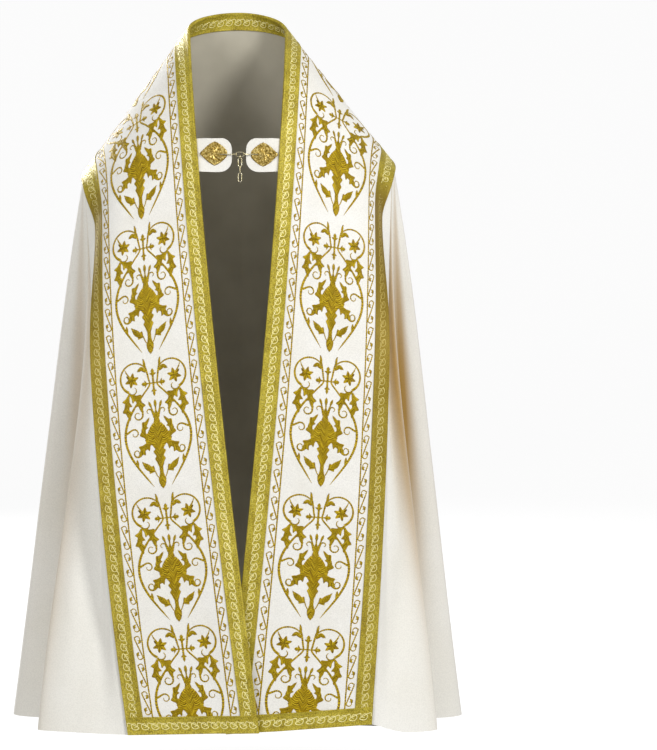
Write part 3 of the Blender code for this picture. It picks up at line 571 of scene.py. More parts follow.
class Finish:
    """A material whose node tree is wired line by line."""

    def __init__(self, name):
        self.material = bpy.data.materials.new(name)
        self.material.use_nodes = True
        self.tree = self.material.node_tree
        self.shader = self.tree.nodes["Principled BSDF"]
        self.pattern = self.add("ShaderNodeUVMap", uv_map="pattern").outputs["UV"]
        self.place = self.add("ShaderNodeTexCoord").outputs["Object"]

    def add(self, kind, inputs=(), **settings):
        """A node with its settings. An input, by name or number, is a value or an output."""
        made = self.tree.nodes.new(kind)
        for name, value in settings.items():
            setattr(made, name, value)
        self.wire(made, dict(inputs))
        return made

    def wire(self, node, inputs):
        """Sets each input to a value, or links it to another node's output."""
        for name, value in inputs.items():
            if isinstance(value, bpy.types.NodeSocket):
                self.tree.links.new(value, node.inputs[name])
            else:
                node.inputs[name].default_value = value

    def maths(self, operation, first, second=0.0, third=0.0):
        """One step of arithmetic on values or outputs."""
        return self.add("ShaderNodeMath", {0: first, 1: second, 2: third},
                        operation=operation).outputs[0]

    def noise(self, scale, detail=2.0, coordinates=None, roughness=0.5):
        """Smooth chance variation round 0.5, with about "scale" blotches to a metre."""
        return self.add("ShaderNodeTexNoise", {
            "Vector": coordinates or self.place, "Scale": scale, "Detail": detail,
            "Roughness": roughness}).outputs["Fac"]

    def strands(self, along, across, detail=2.0, roughness=0.5):
        """Noise drawn out into threads, with so many to a metre along the pattern and across."""
        stretched = self.add("ShaderNodeMapping", {
            "Vector": self.pattern, "Scale": (along, across, 1.0)}).outputs[0]
        return self.noise(1.0, detail, stretched, roughness)

    def bands(self, per_metre, direction="X", wander=0.0):
        """Parallel threads as a smooth wave: 0 in the gaps, 1 on the crests."""
        return self.add("ShaderNodeTexWave", {
            "Vector": self.pattern, "Scale": per_metre * ONE_BAND, "Distortion": wander},
            wave_type="BANDS", bands_direction=direction).outputs["Fac"]

    def ramp(self, value, *stops):
        """A colour for each value, as (value, colour) stops."""
        made = self.add("ShaderNodeValToRGB", {"Fac": value})
        elements = made.color_ramp.elements
        while len(elements) < len(stops):
            elements.new(0.5)
        for element, (at, colour) in zip(elements, stops):
            element.position = at
            element.color = (*colour, 1.0)
        return made.outputs["Color"]

    def remap(self, value, low, high, to_low=0.0, to_high=1.0):
        """A value from one range set out over another, and held at its ends."""
        return self.add("ShaderNodeMapRange", {
            "Value": value, "From Min": low, "From Max": high, "To Min": to_low,
            "To Max": to_high}).outputs["Result"]

    def mix(self, share, first, second, blend_type="MIX"):
        """Two colours mixed. Each is an output or a (red, green, blue)."""
        made = self.add("ShaderNodeMix", data_type="RGBA", blend_type=blend_type)
        for socket, value in ((made.inputs[0], share), (made.inputs[6], first),
                              (made.inputs[7], second)):
            if isinstance(value, bpy.types.NodeSocket):
                self.tree.links.new(value, socket)
            elif isinstance(value, tuple):
                socket.default_value = (*value, 1.0)
            else:
                socket.default_value = value
        return made.outputs[2]

    def dimmed(self, colour, grey):
        """A colour times a grey value."""
        grey = self.add("ShaderNodeCombineColor", {0: grey, 1: grey, 2: grey}).outputs[0]
        return self.mix(1.0, colour, grey, "MULTIPLY")

    def shaded(self, colour, shade):
        """A colour, mixed towards the colour of a painted shade as far as the piece's points say.
        """
        amount = self.add("ShaderNodeAttribute", attribute_name=FOLD_SHADE).outputs["Fac"]
        return self.mix(amount, colour, shade)

    def relief(self, *layers):
        """Bump from several heights, each with its depth in metres, one on top of the other."""
        last = None
        for height, depth in layers:
            inputs = {"Height": height, "Distance": depth, "Strength": 1.0}
            if last is not None:
                inputs["Normal"] = last
            last = self.add("ShaderNodeBump", inputs).outputs["Normal"]
        self.wire(self.shader, {"Normal": last})

    def finish(self, colour, roughness, **fixed):
        """Sets the shader. "fixed" holds the sockets that are one value all over the surface."""
        for name, value in (("Base Color", colour), ("Roughness", roughness)):
            if isinstance(value, tuple):
                value = (*value, 1.0)
            self.wire(self.shader, {name: value})
        for name, value in fixed.items():
            socket = name.replace("_", " ").title().replace("Ior", "IOR")
            self.shader.inputs[socket].default_value = value
        return self.material


def linear(red, green, blue):
    """A colour picked on a screen (0 to 255) as the linear light that a shader works in."""
    shares = np.array([red, green, blue]) / 255.0
    low, high = shares / 12.92, ((shares + 0.055) / 1.055) ** 2.4
    return tuple(float(c) for c in np.where(shares <= 0.04045, low, high))


print("a screen's gold (176, 146, 4) as light:", np.round(linear(176, 146, 4), 3).tolist())


# %% [markdown]
# ### Ivory cloth and its lining
#
# The body is a heavy ivory brocade: matt, with a fine crossing weave, a scatter of flatter threads
# and a soft bloom at grazing angles, which is what sheen is for. Deep in the folds a warm ochre
# shade is painted into the cloth's colour, standing in for the light that the gold and the cloth
# around it throw there: each point of the cope carries how much of this painted shade it takes,
# from how deep in a fold it lies and from listed lines along the folds, and the finish mixes in
# ochre by it. The lining is a plain pale twill, and the band's own cloth is ribbed and a little
# whiter. A depth in a finish's relief is in metres.

# %% Cloth finishes
def make_ivory():
    """A crossing weave with slubs, speckles and slow clouds of tone, and a painted warm shade in
    the folds.
    """
    f = Finish("ivory_brocade")
    warp = f.bands(900, "X")
    weft = f.bands(900, "Y")
    weave = f.maths("MULTIPLY", warp, weft)
    slub = f.strands(260.0, 900.0, 3.0)
    speckle = f.noise(420.0, 2.0)
    cloud = f.noise(5.0, 3.0)
    tone = f.ramp(cloud, (0.30, linear(239, 236, 226)), (0.70, linear(245, 243, 236)))
    # Painted shade: the colour is mixed towards ochre as far as the point's fold shade says.
    tone = f.shaded(tone, linear(172, 132, 54))
    colour = f.dimmed(tone, f.remap(speckle, 0.35, 0.62, 0.93, 1.0))
    rough = f.remap(slub, 0.3, 0.7, 0.62, 0.80)
    f.relief((weave, 0.00012), (slub, 0.00030), (speckle, 0.00015))
    return f.finish(colour, rough, sheen_weight=0.35, sheen_roughness=0.45, specular_ior_level=0.30)


def make_lining():
    """A fine slanting twill."""
    f = Finish("taupe_lining")
    twill = f.bands(1400, "DIAGONAL")
    cloud = f.noise(9.0, 3.0)
    colour = f.ramp(cloud, (0.30, linear(184, 178, 160)), (0.70, linear(202, 196, 178)))
    f.relief((twill, 0.00010), (f.noise(300.0), 0.00012))
    return f.finish(colour, 0.62, sheen_weight=0.2, sheen_roughness=0.4, specular_ior_level=0.35)


def make_panel():
    """The band's ground: fine ribs and a close grain."""
    f = Finish("band_cloth")
    ribs = f.bands(1000, "Y")
    grain = f.noise(520.0, 3.0, roughness=0.6)
    fleck = f.remap(grain, 0.38, 0.60, 0.88, 1.0)
    tone = f.ramp(f.noise(14.0, 2.0), (0.3, linear(240, 237, 228)), (0.7, linear(247, 245, 239)))
    colour = f.dimmed(tone, fleck)
    f.relief((ribs, 0.00010), (grain, 0.00035))
    return f.finish(colour, 0.72, sheen_weight=0.25, sheen_roughness=0.4, specular_ior_level=0.3)


ivory, lining, panel_cloth = make_ivory(), make_lining(), make_panel()
print("cloth finishes:", ivory.name, lining.name, panel_cloth.name)

# %% [markdown]
# ### Gold thread, braid and metal
#
# Satin stitch is many parallel threads, so its gloss runs in lines: the pattern map of each
# stitched shape has u along the shape and v across it. Waves along u give the rows of stitches,
# and a stretched noise gives single threads a lighter or darker gold. The braid is woven from the
# same thread but paler and flatter; where it turns towards the folds a darker gold is painted on it
# as shade. The clasp is cast metal, whose tone changes in small patches.

# %% Gold finishes
def make_gold_thread():
    """Satin stitch: rows across the shape, and single threads of a lighter or darker gold."""
    f = Finish("gold_thread")
    rows = f.remap(f.bands(250, "X", wander=0.5), 0.10, 0.60)
    strand = f.remap(f.strands(330.0, 45.0), 0.36, 0.64)
    patch = f.noise(60.0, 2.0)
    tone = f.maths("ADD", f.maths("MULTIPLY", strand, 0.50), f.maths("MULTIPLY", patch, 0.25))
    tone = f.maths("MULTIPLY_ADD", rows, 0.24, tone)
    colour = f.ramp(tone, (0.18, linear(88, 64, 0)), (0.38, linear(138, 110, 0)),
                    (0.58, linear(176, 146, 4)), (0.80, linear(214, 186, 36)))
    rough = f.remap(strand, 0.0, 1.0, 0.34, 0.52)
    f.relief((rows, 0.00040), (strand, 0.00045))
    return f.finish(colour, rough, metallic=0.20, specular_ior_level=0.20, anisotropic=0.4)


def make_braid():
    """Woven gold with short glints and dark specks between the threads, mixed towards a darker gold
    as painted shade where the piece's points say.
    """
    f = Finish("gold_braid")
    warp = f.bands(1100, "DIAGONAL")
    glint = f.strands(700.0, 260.0, roughness=0.7)
    patch = f.noise(35.0, 2.0)
    tone = f.maths("ADD", f.maths("MULTIPLY", glint, 0.7), f.maths("MULTIPLY", patch, 0.3))
    speck = f.remap(f.noise(480.0, 1.0), 0.38, 0.50, 0.58, 1.0)
    colour = f.ramp(tone, (0.30, linear(112, 94, 8)), (0.45, linear(174, 154, 34)),
                    (0.58, linear(204, 186, 62)), (0.72, linear(232, 218, 112)))
    # Painted shade: a darker gold where the outer galloons turn towards the folds.
    colour = f.shaded(f.dimmed(colour, speck), linear(132, 106, 12))
    rough = f.remap(glint, 0.3, 0.7, 0.36, 0.52)
    f.relief((warp, 0.00015), (glint, 0.00040))
    return f.finish(colour, rough, metallic=0.20, specular_ior_level=0.40)


def make_braid_curl():
    """The paler raised thread on the braid, mixed towards a darker gold as painted shade where the
    piece's points say.
    """
    f = Finish("pale_braid_thread")
    strand = f.strands(1200.0, 300.0)
    colour = f.ramp(strand, (0.32, linear(222, 208, 116)), (0.5, linear(242, 232, 158)),
                    (0.7, linear(250, 244, 192)))
    # Painted shade: a darker gold where the outer galloons turn towards the folds.
    colour = f.shaded(colour, linear(168, 142, 44))
    f.relief((strand, 0.00030))
    return f.finish(colour, f.remap(strand, 0.3, 0.7, 0.28, 0.44), metallic=0.3,
                    specular_ior_level=0.6)


def make_bullion():
    """Dark twisted gold cord."""
    f = Finish("bullion")
    twist = f.bands(700, "DIAGONAL")
    strand = f.noise(240.0, 2.0)
    colour = f.ramp(strand, (0.30, linear(84, 70, 14)), (0.5, linear(140, 118, 34)),
                    (0.7, linear(206, 184, 92)))
    f.relief((twist, 0.00030))
    return f.finish(colour, 0.34, metallic=0.45, specular_ior_level=0.6)


def make_metal(name, tones, smoothest, roughest, grain):
    """Metal in three tones from dark to light, rougher where it is dark. "grain" is how many
    patches of tone lie side by side in a metre."""
    f = Finish(name)
    wear = f.noise(grain, 3.0)
    colour = f.ramp(wear, *zip((0.32, 0.52, 0.72), tones))
    f.relief((f.noise(900.0, 2.0), 0.00008))
    return f.finish(colour, f.remap(wear, 0.3, 0.7, roughest, smoothest), metallic=1.0)


gold_thread, bullion = make_gold_thread(), make_bullion()
braid, braid_curl = make_braid(), make_braid_curl()
filigree = make_metal(
    "antique_gold", (linear(98, 76, 24), linear(186, 158, 82), linear(244, 226, 156)),
    smoothest=0.40, roughest=0.58, grain=340.0)
pale_metal = make_metal(
    "pale_gold_metal", (linear(176, 164, 120), linear(214, 204, 168), linear(240, 234, 210)),
    smoothest=0.16, roughest=0.28, grain=260.0)
print("gold finishes:", gold_thread.name, braid.name, bullion.name, filigree.name)

# %% [markdown]
# ## The cope's cloth
#
# A cloth has an outer face, an inner face and an edge. Its outer face is made first. Its copy,
# moved in by the cloth's thickness, becomes the lining, and a narrow rim closes the two along the
# open edges. A Solidify modifier would do the same, but doing it on the arrays keeps the lining's
# own finish and pattern easy to reach.

# %% Cloth with two faces
def points_facing(points, faces):
    """The outward direction at each point: the sum of its faces' cross products, made unit."""
    corners = points[faces]
    normal = np.cross(corners[:, 2] - corners[:, 0], corners[:, 3] - corners[:, 1])
    total = np.zeros_like(points)
    for k in range(4):
        np.add.at(total, faces[:, k], normal)
    return unit(total + NOT_ZERO)


def open_edges(faces):
    """Edges that belong to one face only, in that face's direction."""
    ends = np.concatenate([faces[:, [k, (k + 1) % 4]] for k in range(4)])
    _, index, count = np.unique(np.sort(ends, axis=1), axis=0, return_inverse=True,
                                return_counts=True)
    return ends[count[index.ravel()] == 1]


def two_faced(top, under, faces):
    """A closed cloth from its outer and inner points, which share one table of faces: the outer
    face, the inner one and a rim between their open edges."""
    count, rim = len(top), open_edges(faces)
    rim = np.stack([rim[:, 1], rim[:, 0], rim[:, 0] + count, rim[:, 1] + count], axis=-1)
    return np.vstack([top, under]), [faces, faces[:, ::-1] + count, rim]


def lined(faces):
    """Material numbers for those: the first finish outside and on the rim, the second inside."""
    return np.repeat([0, 1, 0], [len(group) for group in faces])


def add_shade(piece, shade):
    """Gives each point of a piece how much painted fold shade it takes."""
    layer = piece.data.attributes.new(FOLD_SHADE, "FLOAT", "POINT")
    layer.data.foreach_set("value", np.asarray(shade, np.float32))


print("a sheet of 3 by 4 points has", len(open_edges(grid_quads(np.arange(12).reshape(3, 4)))),
      "open edges")

# %% [markdown]
# ### The cope itself
#
# The visible cloth is the band's strip and the skirt of each side. They are worked out as four
# tables of points, and joined where points of two tables fall on the same place.

# %% The cope's cloth
STRIP_ACROSS = np.linspace(0, BAND_WIDTH, 9)
SAME_DIGITS = 5  # points that agree to this many digits of a metre are one


def strip_stations(side):
    """Stations of the strip under the band: those where the skirt's columns and rows meet it."""
    _, top_s, _ = skirt(side)
    return np.concatenate([top_s[::-1], CORNER_S + FAN_HALF + hem_stations()[1:] * FRONT_RUN])


def make_cope_cloth():
    """Both sides' strips and skirts as one closed cloth, with how much painted fold shade each
    point takes.
    """
    points, faces, pattern, shade, count = [], [], [], [], 0
    for side, shoulder in SHOULDERS.items():
        stations = strip_stations(side)
        s, t = np.meshgrid(stations, STRIP_ACROSS, indexing="ij")
        columns = creased(side)
        hem = np.linalg.norm(np.diff(columns[:, -1], axis=0, prepend=columns[:1, -1]), axis=1)
        tall = np.linalg.norm(columns[:, -1] - columns[:, 0], axis=1)
        down = hem_stations()[None] * tall[:, None]
        round_hem = np.broadcast_to(np.cumsum(hem)[:, None], down.shape)
        for grid, maps, flip, depth in (
                (band_point(side, s, t), (s, t), side == "left", np.zeros(s.shape)),
                (columns, (round_hem, down), side == "right", painted_fold_shade(side))):
            index = count + np.arange(grid[..., 0].size).reshape(grid.shape[:2])
            faces.append(grid_quads(index, flip))
            points.append(grid.reshape(-1, 3))
            pattern.append(np.stack([np.ravel(m) for m in maps], axis=-1) * shoulder["sign"])
            shade.append(depth.ravel())
            count += len(points[-1])
    points, pattern, shade = np.vstack(points), np.vstack(pattern), np.concatenate(shade)
    _, first, same = np.unique(np.round(points, SAME_DIGITS), axis=0, return_index=True,
                               return_inverse=True)
    faces = same.ravel()[np.vstack(faces)]
    faces = faces[(faces != np.roll(faces, 1, axis=1)).all(axis=1)]
    points, pattern = points[first], np.tile(pattern[first], (2, 1))
    inner = points - points_facing(points, faces) * CLOTH_WALL
    points, faces = two_faced(points, inner, faces)
    piece = dress("cope_cloth", "ivory_cloth", points, faces, [ivory, lining], pattern,
                  lined(faces))
    # Each point carries its painted fold shade; the band's strip takes none.
    add_shade(piece, np.tile(shade[first], 2))
    return piece


cope_cloth = make_cope_cloth()
print("cope cloth:", len(cope_cloth.data.polygons), "faces")

# %% [markdown]
# ## The orphreys
#
# An orphrey is the wide embroidered band. Its ground is a firmer, whiter cloth, sewn flat on the
# cope. It is laid as a thin closed sheet over the band's (s, t) surface, a hair's breadth above it.

# %% Orphrey grounds
GROUND_STEP = 0.009


def slab(surface, first, second, low, high):
    """A thin closed sheet over a grid of two numbers. "surface(first, second, lift)" places it."""
    top, under = surface(first, second, high), surface(first, second, low)
    faces = grid_quads(np.arange(first.size).reshape(first.shape))
    return two_faced(top.reshape(-1, 3), under.reshape(-1, 3), faces)


def both_faces(u, v):
    """The pattern of a slab, the same on both its faces."""
    return np.tile(np.stack([u.ravel(), v.ravel()], axis=-1), (2, 1))


def spaced(start, end, step):
    """Places from start to end, as near to a step apart as divides the way evenly."""
    return np.linspace(start, end, max(2, int(round((end - start) / step)) + 1))


def make_orphrey(side):
    """One band's ground, from the centre back to the hem."""
    s, t = np.meshgrid(spaced(0, EDGE_HALF, GROUND_STEP),
                       spaced(0, BAND_WIDTH - TUCK_DEPTH, GROUND_STEP), indexing="ij")
    points, faces = slab(functools.partial(on_band, side), s, t, ORPHREY_LIFT, ORPHREY_FACE)
    piece = make_piece(f"orphrey_ground_{side}", points, faces, [panel_cloth], both_faces(s, t))
    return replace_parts(piece, f"orphrey_{side}")


orphreys = {side: make_orphrey(side) for side in SHOULDERS}
print("orphreys:", {side: len(piece.data.polygons) for side, piece in orphreys.items()})

# %% [markdown]
# ## The galloons
#
# Galloon is a flat braid of metallic thread. Its section is a thin slab with a round cord along
# each edge, so it is made as a profile carried along the band. Down the fronts the braid is also
# turned over the cloth's raw edge, as binding is. The running scroll in its middle is a raised
# thread: one curl with a tail, repeated along the braid and turned over every second time.

# %% Sections carried along a line
BRAID_CORD, BRAID_RISE = 0.0030, 0.0014  # each edge's round cord: its width and its height
BRAID_FIELD = 0.0010  # the height of the level field between
FIELD_POINTS = 4


def braid_section(width):
    """The braid's closed section as (across, height): a flat back, a round cord at each edge and a
    level field between."""
    cord = np.array([[0.0, 0.05], [0.10, 0.75], [0.45, 1.0], [0.80, 0.72], [1.0, 0.0]])
    left = cord * [BRAID_CORD, BRAID_RISE - BRAID_FIELD] + [0, BRAID_FIELD]
    left[0] = [0.0, 0.0]
    across = np.linspace(BRAID_CORD, width - BRAID_CORD, FIELD_POINTS + 2)[1:-1]
    field = np.stack([across, np.full(FIELD_POINTS, BRAID_FIELD)], axis=-1)
    right = left[::-1] * [-1, 1] + [width, 0]
    return np.vstack([left, field, right])


def bound_section(width):
    """The same braid with its first edge turned over the cloth's edge, heights being from the
    cloth: the turned edge goes round outside the cloth's wall, and comes back close to it."""
    top = braid_section(width)[2:] + [0, GALLOON_LIFT]
    turned = np.array([[0.0014, -0.0023], [0.0006, -0.0029], [-0.0006, -0.0028],
                       [-0.0014, -0.0014], [-0.0015, 0.0012], [-0.0008, 0.0028]])
    inside = np.array([[-0.0003, 0.0016], [-0.0003, -0.0021]])
    return np.vstack([turned, top, inside])


def carried(surface, along, section, first_edge, lift):
    """A closed section carried along a surface: (points, faces, pattern)."""
    s, across = np.meshgrid(along, first_edge + section[:, 0], indexing="ij")
    height = np.broadcast_to(section[:, 1] + lift, s.shape)
    rings = surface(s, across, height)
    pattern = np.stack([s.ravel(), across.ravel()], axis=-1)
    return rings.reshape(-1, 3), tube(np.arange(s.size).reshape(s.shape)), pattern


def joined(*parts):
    """Several (points, faces, pattern) as one."""
    points, faces, pattern, count = [], {}, [], 0
    for part in parts:
        for group in part[1]:
            faces.setdefault(group.shape[1], []).append(group + count)
        points.append(part[0])
        pattern.append(part[2])
        count += len(part[0])
    return np.vstack(points), [np.vstack(groups) for groups in faces.values()], np.vstack(pattern)


print("points in a section:", len(braid_section(GALLOON_WIDTH)), "flat,",
      len(bound_section(GALLOON_WIDTH)), "turned over the edge")

# %% [markdown]
# ### Stitched lines and leaves
#
# Nearly everything that is sewn or raised on the cloth is one of two shapes. A line is a ribbon
# with a domed top along a smooth curve, and its width may change on the way. A leaf is the same
# with a different width on each side of its spine, so lobes and notches are only a few numbers.
# Both are drawn flat, in millimetres, and laid on the band afterwards.

# %% Lines and leaves
MM = 0.001
SUNK = -0.15  # the stitches' edges go this far into the cloth, in millimetres
LINE_BOLD = 1.45  # all stitched lines are this much wider than they are drawn


def curve(points, count):
    """A smooth line through a few points, set out evenly."""
    rows = np.array(points, float)
    return evenly(through(rows, [12] * (len(rows) - 1)), count)


def widths(count, *values):
    """Half widths along a line, from a few values at equal distances, with an S curve between."""
    values = np.array(values, float)
    at = np.linspace(0, len(values) - 1, count)
    before = np.minimum(at.astype(int), len(values) - 2)
    return blend(values[before], values[before + 1], smooth(0, 1, at - before))


def leaf(spine, left, right, rise, sides=7, vein=0.0, sweep=0.0, slant=0.8):
    """A domed patch: points lie at spine + across * half width * a for a from -1 to 1, and move
    along by sweep * half width * |a|, so that a leaf's teeth point forward. Its height is
    rise sqrt(1 - a^2), less a narrow groove of "vein" down the middle, and falls off where the
    patch is narrow. The thread's rows run out from the spine, "slant" back for each metre."""
    count = len(spine)
    along = unit(np.gradient(spine, axis=0))
    across = np.stack([-along[:, 1], along[:, 0]], axis=-1)
    a = np.sin(np.linspace(-1, 1, sides) * math.pi / 2)
    half = np.where(a[None] < 0, np.asarray(left)[:, None], np.asarray(right)[:, None])
    flat = (spine[:, None] + across[:, None] * (half * a)[..., None]
            + along[:, None] * (sweep * half * abs(a))[..., None])
    full = np.clip(np.minimum(left, right) / 1.2, 0.25, 1.0)[:, None]
    groove = vein * np.exp(-(a / 0.15) ** 2)
    height = full * (rise * np.sqrt(1 - a**2) - groove) + SUNK * (abs(a) == 1)
    points = np.concatenate([flat, height[..., None]], axis=-1)
    length = np.concatenate([[0], np.cumsum(np.linalg.norm(np.diff(spine, axis=0), axis=1))])
    pattern = np.stack([length[:, None] + slant * abs(half * a), half * a], axis=-1)
    faces = tube(np.arange(count * sides).reshape(count, sides))
    return points.reshape(-1, 3), faces, pattern.reshape(-1, 2) * MM


def line(points, half, rise=0.55, sides=5, step=2.6):
    """A ribbon along a smooth curve. "half" holds half widths along it."""
    rough = curve(points, 40)
    length = np.linalg.norm(np.diff(rough, axis=0), axis=1).sum()
    count = max(5, int(length / step))
    spine = curve(points, count)
    half = widths(count, *half) * LINE_BOLD
    return leaf(spine, half, half, rise, sides)


def blade(points, left, right=None, rise=0.9, vein=0.25, fine=4, sides=7, sweep=0.4, slant=-1.5):
    """A leaf along a smooth curve, its half widths given at equal distances, "fine" steps apart."""
    right = left if right is None else right
    count = 1 + fine * (len(left) - 1)
    return leaf(curve(points, count), widths(count, *left), widths(count, *right), rise, sides,
                vein, sweep, slant)


sample = line([(0, 0), (20, 10), (40, 0)], (0.5, 1.0, 0.5))
print("a line 45 mm long:", len(sample[0]), "points")

# %% [markdown]
# ### Rounds and flowers
#
# Scrolls and curls are circles and spirals, given by their centre, radius and angles. A flower is
# a round patch whose edge goes in and out with the angle. Of each pair of parts one is drawn, and
# turned over for the other.

# %% Rounds and flowers
def spiral(centre, start_radius, end_radius, start, end, count=12):
    """Points on a spiral whose radius changes evenly with its angle. Angles are in degrees,
    clockwise from the right. With two equal radii it is part of a circle."""
    angle = np.radians(np.linspace(start, end, count))
    radius = np.linspace(start_radius, end_radius, count)
    return np.stack([centre[0] + radius * np.cos(angle), centre[1] + radius * np.sin(angle)],
                    axis=-1)


def bloom(centre, radius, petals, turn, rise=0.9):
    """A star-shaped flower. Its edge lies at radius (0.56 + 0.44 lobe), where the lobe is
    1 - |sin(petals angle / 2)|^1.4, so the petals are pointed. Between them is a groove, and in the
    middle a small round heart. The stitches run out from the middle."""
    count, rings = petals * 8, np.array([0.10, 0.22, 0.30, 0.55, 0.8, 0.95, 1.0])
    angle = np.linspace(0, math.tau, count, endpoint=False)
    lobe = 1 - abs(np.sin(petals * angle / 2)) ** 1.4
    edge = radius * (0.56 + 0.44 * lobe)
    reach = rings[:, None] * edge
    x = centre[0] + reach * np.cos(angle + turn)
    y = centre[1] + reach * np.sin(angle + turn)
    dome = rise * np.sqrt(np.clip(1 - rings**2, 0, 1))[:, None] * (0.55 + 0.45 * lobe)
    heart = 0.35 * rise * np.exp(-(rings / 0.2) ** 2)[:, None]
    height = dome + heart + SUNK * (rings == 1)[:, None]
    points = np.stack([x, y, height], axis=-1).reshape(-1, 3)
    faces = tube(np.arange(len(points)).reshape(len(rings), count))
    pattern = np.stack([np.broadcast_to(angle * radius / 2, reach.shape), reach], axis=-1)
    return points, faces, pattern.reshape(-1, 2) * MM


def mirrored(part):
    """A flat part turned over from left to right."""
    points, faces, pattern = part
    return points * [-1, 1, 1], [group[:, ::-1] for group in faces], pattern


print("a flower of six petals:", len(bloom((0, 0), 15, 6, 0)[0]), "points")

# %% [markdown]
# ### The motif
#
# The band repeats one arabesque: two round scrolls with a flower in each, a small fleury cross
# between them, ivy leaves below, and a thistle with curled leaves inside a lyre of two long stems.
# It is the same on both sides of its middle line, so one half is drawn and turned over. "Across" is
# from the middle line and "down" from the top of the scrolls, in millimetres.

# %% Parts of the motif
# Half widths of each kind of leaf from its root to its tip, as shares of its widest.
LOBED = np.array([0.12, 0.35, 1.00, 0.42, 0.50, 0.95, 0.42, 0.35, 0.22, 0.02])
LOBED_LATER = np.array([0.12, 0.32, 0.42, 1.05, 0.50, 0.42, 0.85, 0.35, 0.25, 0.02])
SLENDER = np.array([0.35, 0.85, 1.00, 0.70, 0.08])
HEART = np.array([0.12, 1.00, 0.62, 0.68, 0.60, 0.40, 0.20, 0.02])
TREFOIL = np.array([0.20, 1.00, 0.40, 0.50, 0.30, 0.03])
TENDRIL = (1.7, 1.4, 1.2, 1.0, 0.8, 0.5)


def bent(root, tip, bend=0.0):
    """A spine from root to tip, with its middle moved sideways by "bend"."""
    root, tip = np.array(root, float), np.array(tip, float)
    ahead = tip - root
    aside = np.array([-ahead[1], ahead[0]]) / np.linalg.norm(ahead)
    return np.stack([root, (root + tip) / 2 + aside * bend, tip])


def ivy(root, tip, bend, wide):
    """A leaf with pointed lobes, two on each side, a little later on one side than on the other."""
    return blade(bent(root, tip, bend), wide * LOBED, wide * LOBED_LATER, vein=0.35)


def sprout(root, tip, bend, wide):
    """A slender plain leaf."""
    return blade(bent(root, tip, bend), wide * SLENDER, rise=0.7)


def trefoil(root, tip, wide):
    """A cross's end: two rounds and a point."""
    return blade(bent(root, tip), wide * TREFOIL, rise=0.8)


def tendril(root, centre, start_radius, end_radius, start, end):
    """A thin stem from its root into a spiral, whose angles are in degrees."""
    coil = spiral(centre, start_radius, end_radius, start, end)
    return line(np.vstack([[root], coil]), TENDRIL)


print("one ivy leaf:", len(ivy((0, 0), (30, 40), 4, 11)[0]), "points")

# %% [markdown]
# ### The motif put together
#
# Each part is placed by its root and its tip, or by its centre. The long stem that frames the
# whole is a power of a sine, which leaves the middle line slowly, swings out and comes back.

# %% One motif
LYRE_TOP, LYRE_TALL, LYRE_NEAR, LYRE_WIDE = 45, 210, 8, 57
STEM_START, STEM_START_OUT = -6, 10


def long_stem():
    """Down inside the scroll, then out and in again as one side of a lyre: below its top the
    distance from the middle is near + wide sin(pi u^0.9)^1.2, with u from 0 to 1 down the lyre."""
    down = np.linspace(STEM_START, LYRE_TOP, 5)[:-1]
    above = (LYRE_TOP - down) / (LYRE_TOP - STEM_START)
    upper = LYRE_NEAR + STEM_START_OUT * above ** 1.5
    u = np.linspace(0, 0.92, 15)
    lower = LYRE_NEAR + LYRE_WIDE * np.sin(math.pi * u**0.9) ** 1.2
    path = np.stack([np.append(upper, lower), np.append(down, LYRE_TOP + LYRE_TALL * u)], axis=-1)
    return line(path, (0.5, 1.5, 1.3, 1.3, 1.4, 1.7, 1.9, 1.9, 1.9, 1.8, 1.6, 1.3, 0.4))


def half_motif():
    """Everything on one side of the middle line."""
    return joined(
        long_stem(),
        # The round scroll, its flower and the curl under it.
        line(spiral((37, 29), 29, 29, -148, 62), (0.8, 1.2, 1.3, 1.4, 1.6, 2.0)),
        line(bent((56, 10), (48, 24), -1), (0.5, 1.1, 1.0)),
        bloom((43, 32), 15.0, 6, 0.3),
        tendril((50, 55), (42, 50), 11, 5, 45, 225),
        # Ivy leaves under the scroll, and the tendril in which the inner one ends.
        line(bent((50, 55), (52, 62), 1), (1.9, 1.4, 1.5)),
        ivy((52, 58), (52, 108), -5, 11),
        ivy((50, 57), (27, 96), 7, 12),
        tendril((26, 92), (36, 100), 10, 4, 200, -140),
        # Sprigs above the scroll.
        sprout((17, -6), (16, 13), 1, 2.8),
        sprout((14, 20), (31, 17), -6, 4.5),
        # The cross's arm.
        line(bent((0, 42), (14, 42)), (1.1, 1.0, 1.2)),
        trefoil((12, 42), (24, 42), 8),
        # Sprouts of the thistle's crown.
        line(bent((3, 104), (10, 85)), (1.6, 1.2, 1.0)),
        sprout((8, 89), (13, 76), 0, 2.8),
        tendril((4, 108), (14, 96), 6, 3, 200, 430),
        # The bulb's outer petal, and the leaf that stands up beside it.
        blade([(5, 118), (12, 142), (3, 170)], (4, 7, 9, 9, 7, 5, 2), rise=1.4, vein=0.4,
              slant=1.0),
        ivy((18, 155), (14, 106), 12, 9.5),
        # The leaf that falls outwards, and its curled tip.
        ivy((8, 150), (42, 180), -4, 12),
        tendril((36, 175), (44, 171), 8, 3.5, 120, -190),
        # A leaf on a stalk beside the stem.
        line(bent((4, 226), (13, 208), 1), (0.7, 0.8, 0.9)),
        blade(bent((12, 210), (37, 188), 2), 9 * HEART),
        # The hook on the lyre, and the curl inside it.
        sprout((45, 201), (46, 183), 0, 3),
        tendril((62, 132), (46, 134), 9, 3.5, -60, -380),
    )


